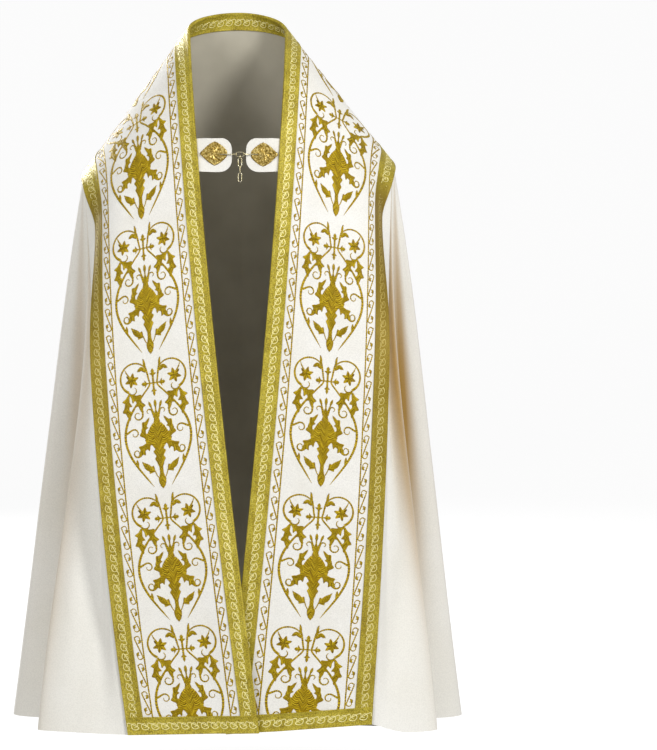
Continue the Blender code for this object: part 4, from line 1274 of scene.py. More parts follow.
def middle_of_motif():
    """What lies on the middle line."""
    return joined(
        line(bent((0, 22), (0, 60)), (1.6, 1.6, 1.6)),
        trefoil((0, 29), (0, 14), 7.5),
        trefoil((0, 52), (0, 67), 6),
        # The thistle: crown, bulb, calyx and stem.
        blade(bent((0, 120), (0, 73)), (7.5, 6, 5, 4.5, 3, 1.5, 1.5, 3.2, 2.8, 0.2)),
        blade(bent((0, 114), (0, 172)), (5, 7, 9, 10, 9, 7, 3), rise=2.1, vein=0.0, sides=9,
              sweep=0.0, slant=1.5),
        blade(bent((0, 204), (0, 164)), (4, 7, 11, 8, 13, 9, 8), rise=1.1),
        blade(bent((0, 195), (0, 243)), (4, 4, 4, 4, 5.5, 8, 7.5, 5.5, 1.2), vein=0.0, sweep=0.0),
    )


half = half_motif()
motif = joined(middle_of_motif(), half, mirrored(half))
print("one motif:", len(motif[0]), "points,", sum(len(group) for group in motif[1]), "faces")

# %% [markdown]
# ### Borders and scrolls
#
# Between the motifs' panel and the braid runs a vine: an S-shaped stem with a hook and a bud at
# each end, again and again, beside one straight line. The braid's own scroll is a curl with a
# tail. The last helpers lay such flat parts on a surface, once or in a row.

# %% Border units
VINE_PERIOD = 0.0505
CURL_PERIOD = 0.0185  # on the widest braid
LINE_STEP = 0.009
LINE_RISE = 0.5


def vine_unit():
    """An S made of two hooks, each part of a circle, with a slanting stem between and two buds."""
    hook = spiral((8, 7), 3.2, 5.5, 80, 375, 9)
    turned = np.array([16, 47]) - hook[::-1]
    return joined(
        line(np.vstack([hook, turned]), (0.5, 0.8, 1.0, 1.1, 1.1, 1.1, 1.0, 0.8, 0.5), rise=0.45,
             sides=4, step=2.4),
        *(blade(spine, (0.8, 2.9, 1.9, 0.2), rise=0.6, vein=0.1, fine=2, sides=5)
          for spine in (bent((3, 8), (8, 16), 1), bent((13, 39), (8, 31), 1))),
    )


def curl_unit(width, period):
    """One curl of the braid's scroll, round the braid's middle, with a tail to the next."""
    middle = width / 2
    radius = min(width * 0.235, period * 0.44)
    turn = spiral((middle, period * 0.42), radius * 0.28, radius, 20, -430, 14)
    tail = [(middle - radius * 0.75, period * 0.98), (middle + radius * 0.1, period * 1.12)]
    return line(np.vstack([turn, tail]), (0.5, 0.66, 0.72, 0.6), rise=0.45, sides=4, step=2.0)


def trimmed(part, low=-math.inf, high=math.inf):
    """A flat part between two lines across it. Faces wholly past a line go, and the rest stops
    there."""
    points, faces, pattern = part
    down = points[:, 1]
    kept = [group[((down[group] > low).any(axis=1)) & ((down[group] < high).any(axis=1))]
            for group in faces]
    points = points.copy()
    points[:, 1] = np.clip(down, low, high)
    return points, [group for group in kept if len(group)], pattern


def laid(part, surface, along, across, turn_over=False, stretch=1.0, base=0.0, lean=0.0):
    """A flat part on a surface: its second number runs along and its first across, either way.
    "lean" moves it along by that much for each metre across, as on cloth pulled off its grain."""
    points, faces, pattern = part
    u = points[:, 0] * (-MM if turn_over else MM)
    down = along + points[:, 1] * MM * stretch + lean * u
    placed = surface(down, across + u, base + points[:, 2] * MM)
    return placed, [group[:, ::-1] for group in faces] if turn_over else faces, pattern


def repeated(unit_part, surface, start, end, period, across, turn_over=False, base=0.0):
    """Whole repeats of a flat part from start to end, with the period eased so that they fit."""
    count = max(1, int(round((end - start) / period)))
    step = (end - start) / count
    return joined(*(laid(unit_part, surface, start + i * step, across, turn_over, step / period,
                         base) for i in range(count)))


def straight(surface, start, end, across, half, base=0.0):
    """A plain stitched line along a surface."""
    count = max(2, int((end - start) / LINE_STEP))
    spine = np.stack([np.zeros(count), np.linspace(0, end - start, count) / MM], axis=-1)
    half = np.full(count, half)
    return laid(leaf(spine, half, half, LINE_RISE, 5), surface, start, across, base=base)


vine = vine_unit()
print("one vine:", len(vine[0]), "points; one curl:", len(curl_unit(33.0, 18.5)[0]), "points")

# %% [markdown]
# ### Galloons on the cope
#
# Braid runs down each front and round the collar, along the band's outer edges and the hem, over
# the join at the centre back, and inside the collar: the same section and curl on other parts of
# the band's surface.

# %% Lay the cope's galloons
HALF_GALLOON = GALLOON_WIDTH / 2
BRAID_STEP = 0.008
CURLS_INSET = 0.004  # the first curl starts this far from a braid's end
FIELD_SINK = 0.0001  # the curls' thread lies this far in the braid's field
HEM_BRAID_START = -0.0015  # just past the front edge, over its turned braid
NECK_INSIDE_END = NECK_HALF + 0.012
NECK_INSIDE_LIFT = 0.0001


def round_collar(s, t, lift):
    """The band's surface over both sides: s is below 0 on the left."""
    s, t, lift = np.broadcast_arrays(s, t, lift)
    left, right = (on_band(side, abs(s), t, lift) for side in SHOULDERS)
    return np.where((s < 0)[..., None], left, right)


def down_the_back(t, s, lift):
    """The same with its two numbers changed over, for a braid that runs across the band."""
    return round_collar(s, t, lift)


def along_the_hem(side, t, s, lift):
    """The same on one side only."""
    return on_band(side, s, t, lift)


def inside_collar(s, t, lift):
    """The cloth's inner face round the neck, where lift goes inwards."""
    return round_collar(s, t, -CLOTH_WALL - LAYER_GAP - lift)


def braided(node, surface, start, end, first_edge, lift, width=GALLOON_WIDTH, bound=False,
            shade=None):
    """A run of braid with its curls, as two pieces: the braid, which stands for the solid, and the
    raised thread on it. "bound" turns its first edge over the cloth's, and "shade" gives how much
    painted shade it takes at the places along it."""
    along = spaced(start, end, BRAID_STEP)
    section, height = (bound_section(width), 0.0) if bound else (braid_section(width), lift)
    points, faces, pattern = carried(surface, along, section, first_edge, height)
    piece = dress(node, "gold_galloon", points, faces, [braid], pattern)
    period = CURL_PERIOD * min(1.0, width / GALLOON_WIDTH)
    curl = curl_unit(width / MM, period / MM)
    points, faces, pattern = repeated(curl, surface, start + CURLS_INSET, end - CURLS_INSET, period,
                                      first_edge, base=lift + BRAID_FIELD - FIELD_SINK)
    thread = make_piece(f"{node}_dressed_curls", points, faces, [braid_curl], pattern)
    if shade is not None:
        add_shade(piece, np.repeat(shade(along), len(section)))
        repeats = np.linspace(start, end, len(points) // len(curl[0]), endpoint=False)
        add_shade(thread, np.repeat(shade(repeats), len(curl[0])))
    return piece, thread


# The outer galloons take a painted shade, a darker gold; this is the most that each side's takes.
OUTER_SHADE = {"left": 0.70, "right": 0.92}  # the most that the outer galloons take


def outer_shade(most, s):
    """How much painted shade the outer galloon takes: a darker gold painted on it past the
    shoulder's corner, where the folds' shade falls, and less and less towards the hem."""
    fall = (s - CORNER_S) / (EDGE_HALF - CORNER_S)
    return most * smooth(0.0, 0.10, fall) * (1 - 0.75 * smooth(0.15, 0.85, fall))


galloons = []
for side in SHOULDERS:
    surface, across = functools.partial(on_band, side), functools.partial(along_the_hem, side)
    galloons += braided(f"galloon_front_{side}", surface, 0.0, EDGE_HALF, 0.0, GALLOON_LIFT,
                        bound=True)
    galloons += braided(f"galloon_outer_{side}", surface, 0.0, EDGE_HALF,
                        BAND_WIDTH - GALLOON_WIDTH, GALLOON_LIFT,
                        shade=functools.partial(outer_shade, OUTER_SHADE[side]))
    galloons += braided(f"galloon_hem_{side}", across, HEM_BRAID_START, BAND_WIDTH,
                        EDGE_HALF - GALLOON_WIDTH, HEM_LIFT)
galloons += braided("galloon_centre_back", down_the_back, GALLOON_WIDTH,
                    BAND_WIDTH - GALLOON_WIDTH, -HALF_GALLOON, GALLOON_LIFT)
galloons += braided("galloon_neck_inside", inside_collar, -NECK_INSIDE_END, NECK_INSIDE_END, 0.0,
                    NECK_INSIDE_LIFT)
print("galloons:", len(galloons), "pieces,", sum(len(p.data.polygons) for p in galloons), "faces")

# %% [markdown]
# ### Embroidery on the bands
#
# The motif repeats down each band from the centre back to the hem. Over the shoulder the first one
# is eased a little longer, because the band has further to go there. The hem's galloon covers the
# end of the last one.

# %% Lay the bands' embroidery
PANEL_MIDDLE = BAND_WIDTH / 2
PANEL_LINES = (0.0515, 0.2035)
LINE_HALF = 1.6  # in millimetres, as the flat parts are
STITCH_SINK = 0.00005
STITCH_BASE = ORPHREY_FACE - STITCH_SINK
LAST_STITCH = EDGE_HALF - GALLOON_WIDTH + 0.010  # the stitches end under the hem's galloon
VINE_START, VINE_END = HALF_GALLOON + 0.002, LAST_STITCH - 0.008
# Where each motif starts, how far it is eased, and how far the cloth leans off its grain there.
MOTIF_PLACES = {
    "left": ((0.019, 1.12, 0.0), (0.305, 1.08, 0.16), (0.583, 1.00, 0.15), (0.840, 0.98, 0.11),
             (1.093, 0.96, 0.08), (1.337, 0.96, 0.06)),
    "right": ((0.019, 1.12, 0.0), (0.305, 1.09, 0.20), (0.590, 0.99, 0.20), (0.845, 0.98, 0.17),
              (1.101, 0.95, 0.14), (1.347, 0.95, 0.14)),
}


def band_embroidery(side):
    """Every motif of one band, then its lines and vines."""
    surface = functools.partial(on_band, side)
    motifs = []
    for top, stretch, lean in MOTIF_PLACES[side]:
        part = trimmed(motif, high=(LAST_STITCH - top) / MM / stretch)
        motifs.append(laid(part, surface, top, PANEL_MIDDLE, stretch=stretch, base=STITCH_BASE,
                           lean=lean))
    borders = []
    for at, turn_over in zip(PANEL_LINES, (True, False)):
        borders.append(straight(surface, HALF_GALLOON, LAST_STITCH, at, LINE_HALF, STITCH_BASE))
        borders.append(repeated(vine, surface, VINE_START, VINE_END, VINE_PERIOD, at, turn_over,
                                STITCH_BASE))
    made = []
    for name, parts in (("motifs", motifs), ("borders", borders)):
        points, faces, pattern = joined(*parts)
        piece = make_piece(f"stitched_{name}_{side}", points, faces, [gold_thread], pattern)
        made.append(piece)
    return made


embroidery = {side: band_embroidery(side) for side in SHOULDERS}
for side, made in embroidery.items():
    print(side, "embroidery:", [len(piece.data.polygons) for piece in made], "faces")

# %% [markdown]
# ## The hood
#
# The hood is a flat shield of cloth, tucked under the outer galloon and hanging down the back. It
# has its own strip of orphrey, a narrow braid round its edge and a bullion fringe. It must lie on
# the back wherever the back goes, so the back is first worked out as a fine table over x (across)
# and q (down from the band's lower edge), and every layer of the hood is read from that table.

# %% The back as a table
NORMAL_STEP = 0.012  # the back's directions are read over this much either way
TABLE_X = np.linspace(-0.31, 0.31, 249)
TABLE_Q = np.linspace(-0.07, 0.53, 151)
SLIGHT = 1e-9


@functools.cache
def back_table():
    """Points of the back and their outward directions, as arrays (q, x, xyz). Each row is a line
    round the back, over both halves of the cloth."""
    rows = []
    for q in TABLE_Q:
        halves = []
        for side in SHOULDERS:
            columns, top_s, _ = skirt(side)
            behind = top_s <= CORNER_S - FAN_HALF + SLIGHT
            if q < 0:
                points = band_point(side, top_s[behind], BAND_WIDTH + q)
            else:
                top, hem = columns[behind, 0], columns[behind, -1]
                points = top + (hem - top) * q / (CENTRE_BACK["low_z"] - HEM_Z)
            halves.append(points)
        line_round = np.vstack([halves[0], halves[1][-2::-1]])
        rows.append([np.interp(TABLE_X, line_round[:, 0], line_round[:, k]) for k in range(3)])
    points = np.moveaxis(np.array(rows), 1, -1)
    points[..., 0] = TABLE_X
    wide = int(round(NORMAL_STEP / (TABLE_X[1] - TABLE_X[0])))
    tall = int(round(NORMAL_STEP / (TABLE_Q[1] - TABLE_Q[0])))
    padded = np.pad(points, ((tall, tall), (wide, wide), (0, 0)), mode="reflect",
                    reflect_type="odd")
    across = padded[tall:-tall, 2 * wide:] - padded[tall:-tall, :-2 * wide]
    down = padded[2 * tall:, wide:-wide] - padded[:-2 * tall, wide:-wide]
    facing = np.cross(across, down)
    return points, unit(facing * np.sign(facing[..., 1:2]))


def table_place(value, table):
    """Where a value falls in an even table: the row before it, and the share of the way on."""
    at = np.clip((value - table[0]) / (table[1] - table[0]), 0, len(table) - 1.001)
    before = at.astype(int)
    return before, (at - before)[..., None]


def on_back(x, q, lift):
    """The back's surface at x and q, lifted, read between the table's four nearest points."""
    x, q, lift = np.broadcast_arrays(np.asarray(x, float), np.asarray(q, float), lift)
    i, v = table_place(q, TABLE_Q)
    j, u = table_place(x, TABLE_X)
    place, facing = (blend(blend(table[i, j], table[i, j + 1], u),
                           blend(table[i + 1, j], table[i + 1, j + 1], u), v)
                     for table in back_table())
    return place + unit(facing) * lift[..., None]


print("the back's table:", back_table()[0].shape[:2], "places")

# %% [markdown]
# ### The hood's outline
#
# The hood has straight sides and a foot with two round corners. It lies closest to the back under
# the galloon at its top and stands off a little more towards its foot.

# %% Places on the hood
HOOD_HALF, HOOD_DROP, HOOD_CORNER, HOOD_WALL = 0.246, 0.452, 0.120, 0.0009
TUCK_LIFT, HOOD_LIFT, HOOD_LIFT_REACH, HOOD_FLARE = 0.0007, 0.0014, 0.020, 0.0020
HOOD_EDGE_GALLOON = 0.016
HOOD_SIDE = HOOD_DROP - HOOD_CORNER
HOOD_FOOT = HOOD_HALF - HOOD_CORNER
HOOD_ARC = HOOD_CORNER * math.pi / 2
HOOD_ROUND = 2 * (HOOD_SIDE + HOOD_ARC + HOOD_FOOT)


def hood_lift(q):
    """How far the hood's underside lies off the back at q down."""
    near = blend(TUCK_LIFT, HOOD_LIFT, np.clip(q / HOOD_LIFT_REACH, 0, 1))
    return near + HOOD_FLARE * np.clip(q / HOOD_DROP, 0, 1)


def hood_half(q):
    """Half the hood's width at q down: straight sides, then a quarter round to the flat foot."""
    into = np.clip(q - HOOD_SIDE, 0, HOOD_CORNER)
    return HOOD_FOOT + np.sqrt(np.maximum(HOOD_CORNER**2 - into**2, 0))


def hood_edge(along, inset):
    """Places on the hood's edge, moved in by inset: "along" runs down the left side, round both
    corners and up the right side. Each is its side (-1 or 1), how far it lies out and down, and
    the angle that the edge has turned by."""
    half = np.minimum(along, HOOD_ROUND - along)
    turn = np.clip((half - HOOD_SIDE) / HOOD_CORNER, 0, math.pi / 2)
    on_foot = np.clip(half - HOOD_SIDE - HOOD_ARC, 0, HOOD_FOOT)
    out = HOOD_FOOT - on_foot + (HOOD_CORNER - inset) * np.cos(turn)
    down = np.minimum(half, HOOD_SIDE) + (HOOD_CORNER - inset) * np.sin(turn)
    return np.where(along < HOOD_ROUND / 2, -1.0, 1.0), out, down, turn


def on_hood(q, x, lift):
    """The hood's underside at q down and x across, lifted."""
    return on_back(x, q, hood_lift(q) + lift)


def round_hood(along, inset, lift):
    """The hood's underside near its edge, lifted."""
    sign, out, down, _ = hood_edge(along, inset)
    return on_hood(down, sign * out, lift)


print("round the hood's sides and foot:", round(HOOD_ROUND, 3), "m")

# %% [markdown]
# ### The hood's layers
#
# From the back outwards: the hood's cloth with its lining, a strip of orphrey, a braid down each
# of its sides, a narrow braid round the edge, and the stitches, made as on the bands.

# %% The hood's layers
HOOD_GROUND = HOOD_WALL + LAYER_GAP
HOOD_BRAID = HOOD_GROUND + ORPHREY_WALL + LAYER_GAP
HOOD_STITCHES = HOOD_GROUND + ORPHREY_WALL - STITCH_SINK
HOOD_TUCK = -TUCK_DEPTH + LAYER_GAP
HOOD_STEP = 0.008
HALF_BAND = BAND_WIDTH / 2
STRIP_END = HOOD_DROP - HOOD_EDGE_GALLOON
HOOD_MOTIF_TOPS = (-0.034, 0.2215)
HOOD_STITCH_TOP, HOOD_STITCH_FOOT = -0.004, STRIP_END + 0.004


def make_hood():
    """The hood's cloth, a grid whose rows end at its edge and crowd together round its corners."""
    turn = np.linspace(0, math.pi / 2, 24)[1:]
    rows = np.concatenate([spaced(HOOD_TUCK, HOOD_SIDE, HOOD_STEP),
                           HOOD_SIDE + HOOD_CORNER * np.sin(turn)])
    q, share = np.meshgrid(rows, np.linspace(-1, 1, 75), indexing="ij")
    x = share * hood_half(q)
    points, faces = slab(on_hood, q, x, 0.0, HOOD_WALL)
    return dress("hood_cloth", "ivory_cloth", points, faces, [ivory, lining], both_faces(x, q),
                 lined(faces))


def make_hood_strip():
    """The strip of orphrey down the hood's middle."""
    q, x = np.meshgrid(spaced(0, STRIP_END, HOOD_STEP), spaced(-HALF_BAND, HALF_BAND, HOOD_STEP),
                       indexing="ij")
    points, faces = slab(on_hood, q, x, HOOD_GROUND, HOOD_GROUND + ORPHREY_WALL)
    piece = make_piece("hood_orphrey_ground", points, faces, [panel_cloth], both_faces(q, x))
    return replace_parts(piece, "hood_orphrey")


def make_hood_stitches():
    """The motif twice, cut off at the strip's ends, between a line and a vine on each side."""
    parts = []
    for top in HOOD_MOTIF_TOPS:
        part = trimmed(motif, (HOOD_STITCH_TOP - top) / MM, (HOOD_STITCH_FOOT - top) / MM)
        parts.append(laid(part, on_hood, top, 0.0, base=HOOD_STITCHES))
    at = HALF_BAND - PANEL_LINES[0]
    for across, turn_over in ((-at, True), (at, False)):
        parts.append(straight(on_hood, 0.0, STRIP_END, across, LINE_HALF, HOOD_STITCHES))
        parts.append(repeated(vine, on_hood, 0.0, STRIP_END, VINE_PERIOD, across, turn_over,
                              HOOD_STITCHES))
    points, faces, pattern = joined(*parts)
    piece = make_piece("hood_stitches", points, faces, [gold_thread], pattern)
    return piece


hood_cloth, hood_ground = make_hood(), make_hood_strip()
for side, edge in (("left", -HALF_BAND), ("right", HALF_BAND - GALLOON_WIDTH)):
    galloons += braided(f"hood_galloon_{side}", on_hood, 0.0, STRIP_END, edge, HOOD_BRAID)
galloons += braided("hood_galloon_edge", round_hood, 0.0, HOOD_ROUND, 0.0, HOOD_GROUND,
                    HOOD_EDGE_GALLOON)
hood_stitches = make_hood_stitches()
print("hood:", len(hood_cloth.data.polygons), "faces; stitches:", len(hood_stitches.data.polygons))

# %% [markdown]
# ## The bullion fringe
#
# Bullion is a fringe of stiff twisted gold cords. Each cord here is a thin three-sided tube, since
# over a thousand are needed and their roundness is smaller than a pixel. Their lengths, slants and
# droops are drawn at random from a fixed seed, so every run gives the same fringe. A cord starts
# under the edge braid and follows the back, outwards and down.

# %% The fringe
CORDS_PER_LAYER = 640
CORD_RADIUS = 0.00075
CORD_RINGS = 6
CORD_CORNERS = 3
FRINGE_LAYERS = ((0.0006, 1.0), (0.0024, 0.97))  # each layer's height and its share of the length
FRINGE_SIDE, FRINGE_BOTTOM = 0.0455, 0.0420  # the cords' length at the hood's sides and its foot
FRINGE_OUT, FRINGE_DOWN = 0.72, 0.70
FRINGE_ROOT = 0.003  # the cords start this far in from the hood's edge
FRINGE_DROOP, FRINGE_LOWEST = 0.0030, 0.0009
# A cord's place on the pattern: metres from ring to ring, from cord to cord and round the cord.
TWIST_RING, TWIST_CORD, TWIST_ROUND = 0.008, 0.137, 0.0008


def make_fringe():
    """Cords as rings of three points about a middle line: root + direction * length * a, where the
    direction leans from straight out at the root to straight down at the tip."""
    rng = np.random.default_rng(7)
    lines, radii = [], []
    a = np.linspace(0, 1, CORD_RINGS)
    for height, length_share in FRINGE_LAYERS:
        along = np.arange(CORDS_PER_LAYER) + rng.uniform(-0.35, 0.35, CORDS_PER_LAYER)
        along = np.clip(along / CORDS_PER_LAYER, 0.001, 0.999) * HOOD_ROUND
        sign, root_x, root_q, turn = hood_edge(along, FRINGE_ROOT)
        out = np.stack([np.cos(turn), np.sin(turn)], axis=-1)
        fall = out * FRINGE_OUT + np.stack([0 * turn, FRINGE_DOWN * np.cos(turn)], axis=-1)
        slant = rng.normal(0, 0.06, CORDS_PER_LAYER)
        fall = unit(fall + np.stack([slant, -slant * 0.4], axis=-1))
        length = blend(FRINGE_SIDE, FRINGE_BOTTOM, np.sin(turn)) * length_share
        length = length * rng.uniform(0.93, 1.0, CORDS_PER_LAYER)
        droop = (FRINGE_DROOP * a**2)[None] * rng.uniform(0.3, 1.2, CORDS_PER_LAYER)[:, None]
        x = sign[:, None] * (root_x[:, None] + fall[:, :1] * length[:, None] * a)
        q = root_q[:, None] + fall[:, 1:] * length[:, None] * a + droop
        lift = height + hood_lift(root_q)[:, None] * (1 - 0.5 * a)
        lift = lift + rng.normal(0, 0.0004, (CORDS_PER_LAYER, 1))
        lines.append(on_back(x, q, np.maximum(lift, FRINGE_LOWEST)))
        radii.append(np.full((CORDS_PER_LAYER, CORD_RINGS), CORD_RADIUS) * (1 - 0.25 * a))
    lines, radii = np.vstack(lines), np.vstack(radii)
    along = unit(np.gradient(lines, axis=1))
    first = unit(np.cross(along, [0.0, 1.0, 0.0]))
    second = np.cross(along, first)
    angle = np.arange(CORD_CORNERS) * math.tau / CORD_CORNERS
    ring = first[:, :, None] * np.cos(angle)[:, None] + second[:, :, None] * np.sin(angle)[:, None]
    points = lines[:, :, None] + ring * radii[..., None, None]
    cord, level, corner = np.indices(points.shape[:3])
    index = np.arange(cord.size).reshape(cord.shape)
    around = np.concatenate([index, index[..., :1]], axis=2)
    near, far = around[:, :-1], around[:, 1:]
    sides = np.stack([near[..., :-1], far[..., :-1], far[..., 1:], near[..., 1:]], axis=-1)
    caps = np.vstack([index[:, 0], index[:, -1, ::-1]])
    pattern = np.stack([level * TWIST_RING + cord * TWIST_CORD, corner * TWIST_ROUND], axis=-1)
    return dress("hood_fringe", "gold_fringe", points.reshape(-1, 3),
                 [sides.reshape(-1, 4), caps], [bullion], pattern.reshape(-1, 2))


fringe = make_fringe()
print("fringe:", len(fringe.data.polygons), "faces")

# %% [markdown]
# ## The clasp
#
# A cope is closed by a morse: two cloth tabs, sewn behind the front edges, carry cast medallions
# with hooks that meet in a ring, from which a short chain hangs. Each tab is one soft sheet with
# rounded free corners.

# %% The tabs
CLASP_Z = -0.262
TAB_HEIGHT, TAB_WALL, TAB_ROUND = 0.064, 0.0016, 0.022
TAB_BEHIND, TAB_SETTLE, TAB_ROUNDS_FROM = 0.026, 0.30, 0.72
TAB_SAG = 0.0012
TAB_REACH = 0.075  # about how long a tab is, for its pattern
CLASP_GAP, CLASP_FORWARD = 0.027, 0.001
BEHIND = -CLOTH_WALL - LAYER_GAP


@functools.cache
def front_edge(side):
    """Points close together down the front edge."""
    s = np.linspace(NECK_HALF, EDGE_HALF, 400)
    return s, band_point(side, s, 0.0)


def edge_point(side, z):
    """The front edge at heights z: its points, and where they lie along the edge."""
    s, edge = front_edge(side)
    found = np.interp(-z, -edge[:, 2], s)
    return band_point(side, found, 0.0), found


clasp_plane = min(edge_point(side, np.array(CLASP_Z))[0][1] for side in SHOULDERS) - CLASP_FORWARD


def tab_surface(side, across, height, lift):
    """A tab: below 0, "across" is metres behind the front edge; above it, the share of the way to
    the free end. The free end's corners are quarter rounds."""
    sign = SHOULDERS[side]["sign"]
    edge, s = edge_point(side, CLASP_Z + height)
    sewn_t = np.maximum(-across, 0)
    sewn = band_point(side, s, sewn_t) + band_normal(side, s, sewn_t) * BEHIND
    start = edge + band_normal(side, s, 0.0) * BEHIND
    reach = np.clip(across, 0, 1)
    length = abs(start[..., 0]) - CLASP_GAP / 2
    near = np.clip(TAB_ROUND - (1 - reach) * length, 0, TAB_ROUND)
    drawn = (TAB_HEIGHT / 2 - TAB_ROUND + np.sqrt(TAB_ROUND**2 - near**2)) / (TAB_HEIGHT / 2)
    sag = -TAB_SAG * np.sin(math.pi * reach) ** 2
    free = np.stack([
        blend(start[..., 0], sign * CLASP_GAP / 2, reach),
        blend(start[..., 1], clasp_plane, np.minimum(1, reach / TAB_SETTLE)) + 0 * reach,
        CLASP_Z + height * drawn + sag], axis=-1)
    points = np.where((across > 0)[..., None], free, sewn)
    return points + np.array([0.0, 1.0, 0.0]) * lift


def make_tab(side):
    """A tab's cloth, with its stations closer together towards the round corners."""
    towards_end = 1 - np.geomspace(1, 1e-3, 24)
    across = np.concatenate([np.linspace(-TAB_BEHIND, 0, 5)[:-1],
                             towards_end[towards_end < TAB_ROUNDS_FROM][:-1],
                             np.linspace(TAB_ROUNDS_FROM, 1, 16)])
    height = np.linspace(-0.5, 0.5, 25) * TAB_HEIGHT
    a, h = np.meshgrid(np.round(across, 4), height, indexing="ij")
    points, faces = slab(functools.partial(tab_surface, side), a, h, 0.0, TAB_WALL)
    span = np.where(a > 0, a * TAB_REACH, a)
    return dress(f"morse_tab_{side}", "ivory_cloth", points, faces, [ivory], both_faces(span, h))


tabs = {side: make_tab(side) for side in SHOULDERS}
print("tabs:", {side: len(piece.data.polygons) for side, piece in tabs.items()})

# %% [markdown]
# ### The medallions
#
# Each is a polar grid, whose height is a sum of a dome, a rim, ribs and rows of small beads, like a
# casting's filigree. "rho" is the share of the way from its middle to its outline.

# %% The medallions
PLATE_LONG, PLATE_TALL, PLATE_WALL = 0.0515, 0.046, 0.0024
PLATE_CENTRE, PLATE_RISE = 0.0480, {"left": 0.002, "right": 0.0}
PLATE_BACK = clasp_plane - LAYER_GAP
PLATE_ROUND = 288
DIAMOND_POWER = 1.35
POINT_OUT, POINT_ANGLE = 0.10, 0.25  # the outer end's point: how far it is drawn out, and its width
SCALLOP, SCALLOPS = 0.022, 13
PLATE_EDGE, PLATE_DOME = 0.0014, 0.0007
BOSS, BOSS_WIDE = 0.0009, 0.16
LEAF_RIB = 0.00045


def beaded(rho, angle, height, at, wide, beads):
    """A raised ring at rho = at, cut into beads."""
    return height * np.exp(-((rho - at) / wide) ** 2) * (0.6 + 0.4 * np.cos(beads * angle))


def make_plate(side):
    """A medallion, as rings drawn in from its outline: a diamond with bulging sides, where
    |x|^p + |z|^p = 1, drawn out to a point at its outer end, with small scallops. Its height is a
    dome with a boss, two rings of beads, and ribs that turn about the middle."""
    sign = SHOULDERS[side]["sign"]
    angle = np.linspace(0, math.tau, PLATE_ROUND, endpoint=False)
    sides = abs(np.cos(angle)) ** DIAMOND_POWER + abs(np.sin(angle)) ** DIAMOND_POWER
    radius = sides ** (-1 / DIAMOND_POWER)
    from_end = np.minimum(angle, math.tau - angle)
    radius = radius + POINT_OUT * np.exp(-(from_end / POINT_ANGLE) ** 2)
    blunt = 0.92 + 0.2 * (np.cos(angle) > -0.5)
    radius = np.minimum(radius, blunt) + SCALLOP * abs(np.sin(SCALLOPS * angle))
    x, z = radius * np.cos(angle), radius * np.sin(angle)
    x, z = x * PLATE_LONG / np.ptp(x), z * PLATE_TALL / np.ptp(z)
    x = x - (x.max() + x.min()) / 2
    rho = np.concatenate([[0.02], np.linspace(0.06, 0.94, 34), [0.97, 0.99, 1.0]])[:, None]
    turning = np.cos(7 * angle + 9 * rho)
    leaves = LEAF_RIB * turning * np.sin(math.pi * np.clip(rho / 0.8, 0, 1))
    beads = beaded(rho, angle, 0.00055, 0.90, 0.045, 48)
    inner = beaded(rho, angle, 0.00040, 0.52, 0.05, 28)
    boss = BOSS * np.exp(-(rho / BOSS_WIDE) ** 2)
    edge = np.sqrt(np.clip((1 - rho) / 0.06, 0, 1))
    height = (PLATE_EDGE + PLATE_DOME * (1 - rho**2) + leaves + beads + inner + boss) * edge
    front = np.stack([sign * x * rho, -height, z * rho], axis=-1)
    back = np.stack([sign * x, 0 * x, z], axis=-1)
    place = np.array([sign * PLATE_CENTRE, PLATE_BACK, CLASP_Z + PLATE_RISE[side]])
    points = np.vstack([front.reshape(-1, 3), back]) + place
    faces = tube(np.arange(len(points)).reshape(-1, PLATE_ROUND))
    return dress(f"morse_plate_{side}", "antique_gold", points, faces, [filigree],
                 points[:, [0, 2]])


plates = {side: make_plate(side) for side in SHOULDERS}
print("medallions:", {side: len(piece.data.polygons) for side, piece in plates.items()})

# %% [markdown]
# ### Ring, hooks and chain
#
# All of these are bent wire: a round section carried along a path. The ring and each link are two
# straights joined by half rounds. The links ride on their own bodies, so that the chain can swing.

# %% The wire pieces
RING_X, RING_LONG, RING_TALL, RING_WIRE = 0.002, 0.018, 0.010, 0.0010
HOOK_WIRE, HOOK_END = 0.0009, 0.036
HOOK_NECK, HOOK_RISE, HOOK_RAISED = 0.003, 0.006, 0.8  # where a hook's bar starts to rise, and ends
CHAIN_LINKS = (0.0095, 0.0190, 0.0180, 0.0190)
CHAIN_WIDE, CHAIN_WIRE, CHAIN_PLAY = 0.0085, 0.0010, 0.0003
WIRE_SIDES = 14
ACROSS, FORWARD, UPWARD = np.eye(3)


def stadium(centre, long_axis, long_half, wide_axis, wide_half):
    """Two straights joined by half rounds, as points; the sizes are to the wire's middle."""
    angle = np.linspace(-math.pi / 2, math.pi / 2, 15)
    run = long_half - wide_half
    u = np.concatenate([run + wide_half * np.cos(angle), -run - wide_half * np.cos(angle)])
    v = np.concatenate([wide_half * np.sin(angle), -wide_half * np.sin(angle)])
    return centre + u[:, None] * long_axis + v[:, None] * wide_axis


def make_wire(node, path, radius, body="cope", closed=False):
    """A round wire: circles of points square to the path, each joined to the next."""
    path = np.asarray(path, float)
    before, after = np.roll(path, 1, axis=0), np.roll(path, -1, axis=0)
    along = unit(after - before if closed else np.gradient(path, axis=0))
    flat = np.linalg.svd(path - path.mean(axis=0))[2][2]
    across = unit(np.cross(along, flat))
    angle = np.arange(WIRE_SIDES) * math.tau / WIRE_SIDES
    circle = across[:, None] * np.cos(angle)[:, None] + flat * np.sin(angle)[:, None]
    points = (path[:, None] + circle * radius).reshape(-1, 3)
    index = np.arange(len(points)).reshape(len(path), WIRE_SIDES)
    faces = tube(np.vstack([index, index[:1]]))[:1] if closed else tube(index)
    return dress(node, "pale_gold_metal", points, faces, [pale_metal], points[:, [0, 2]], body=body)


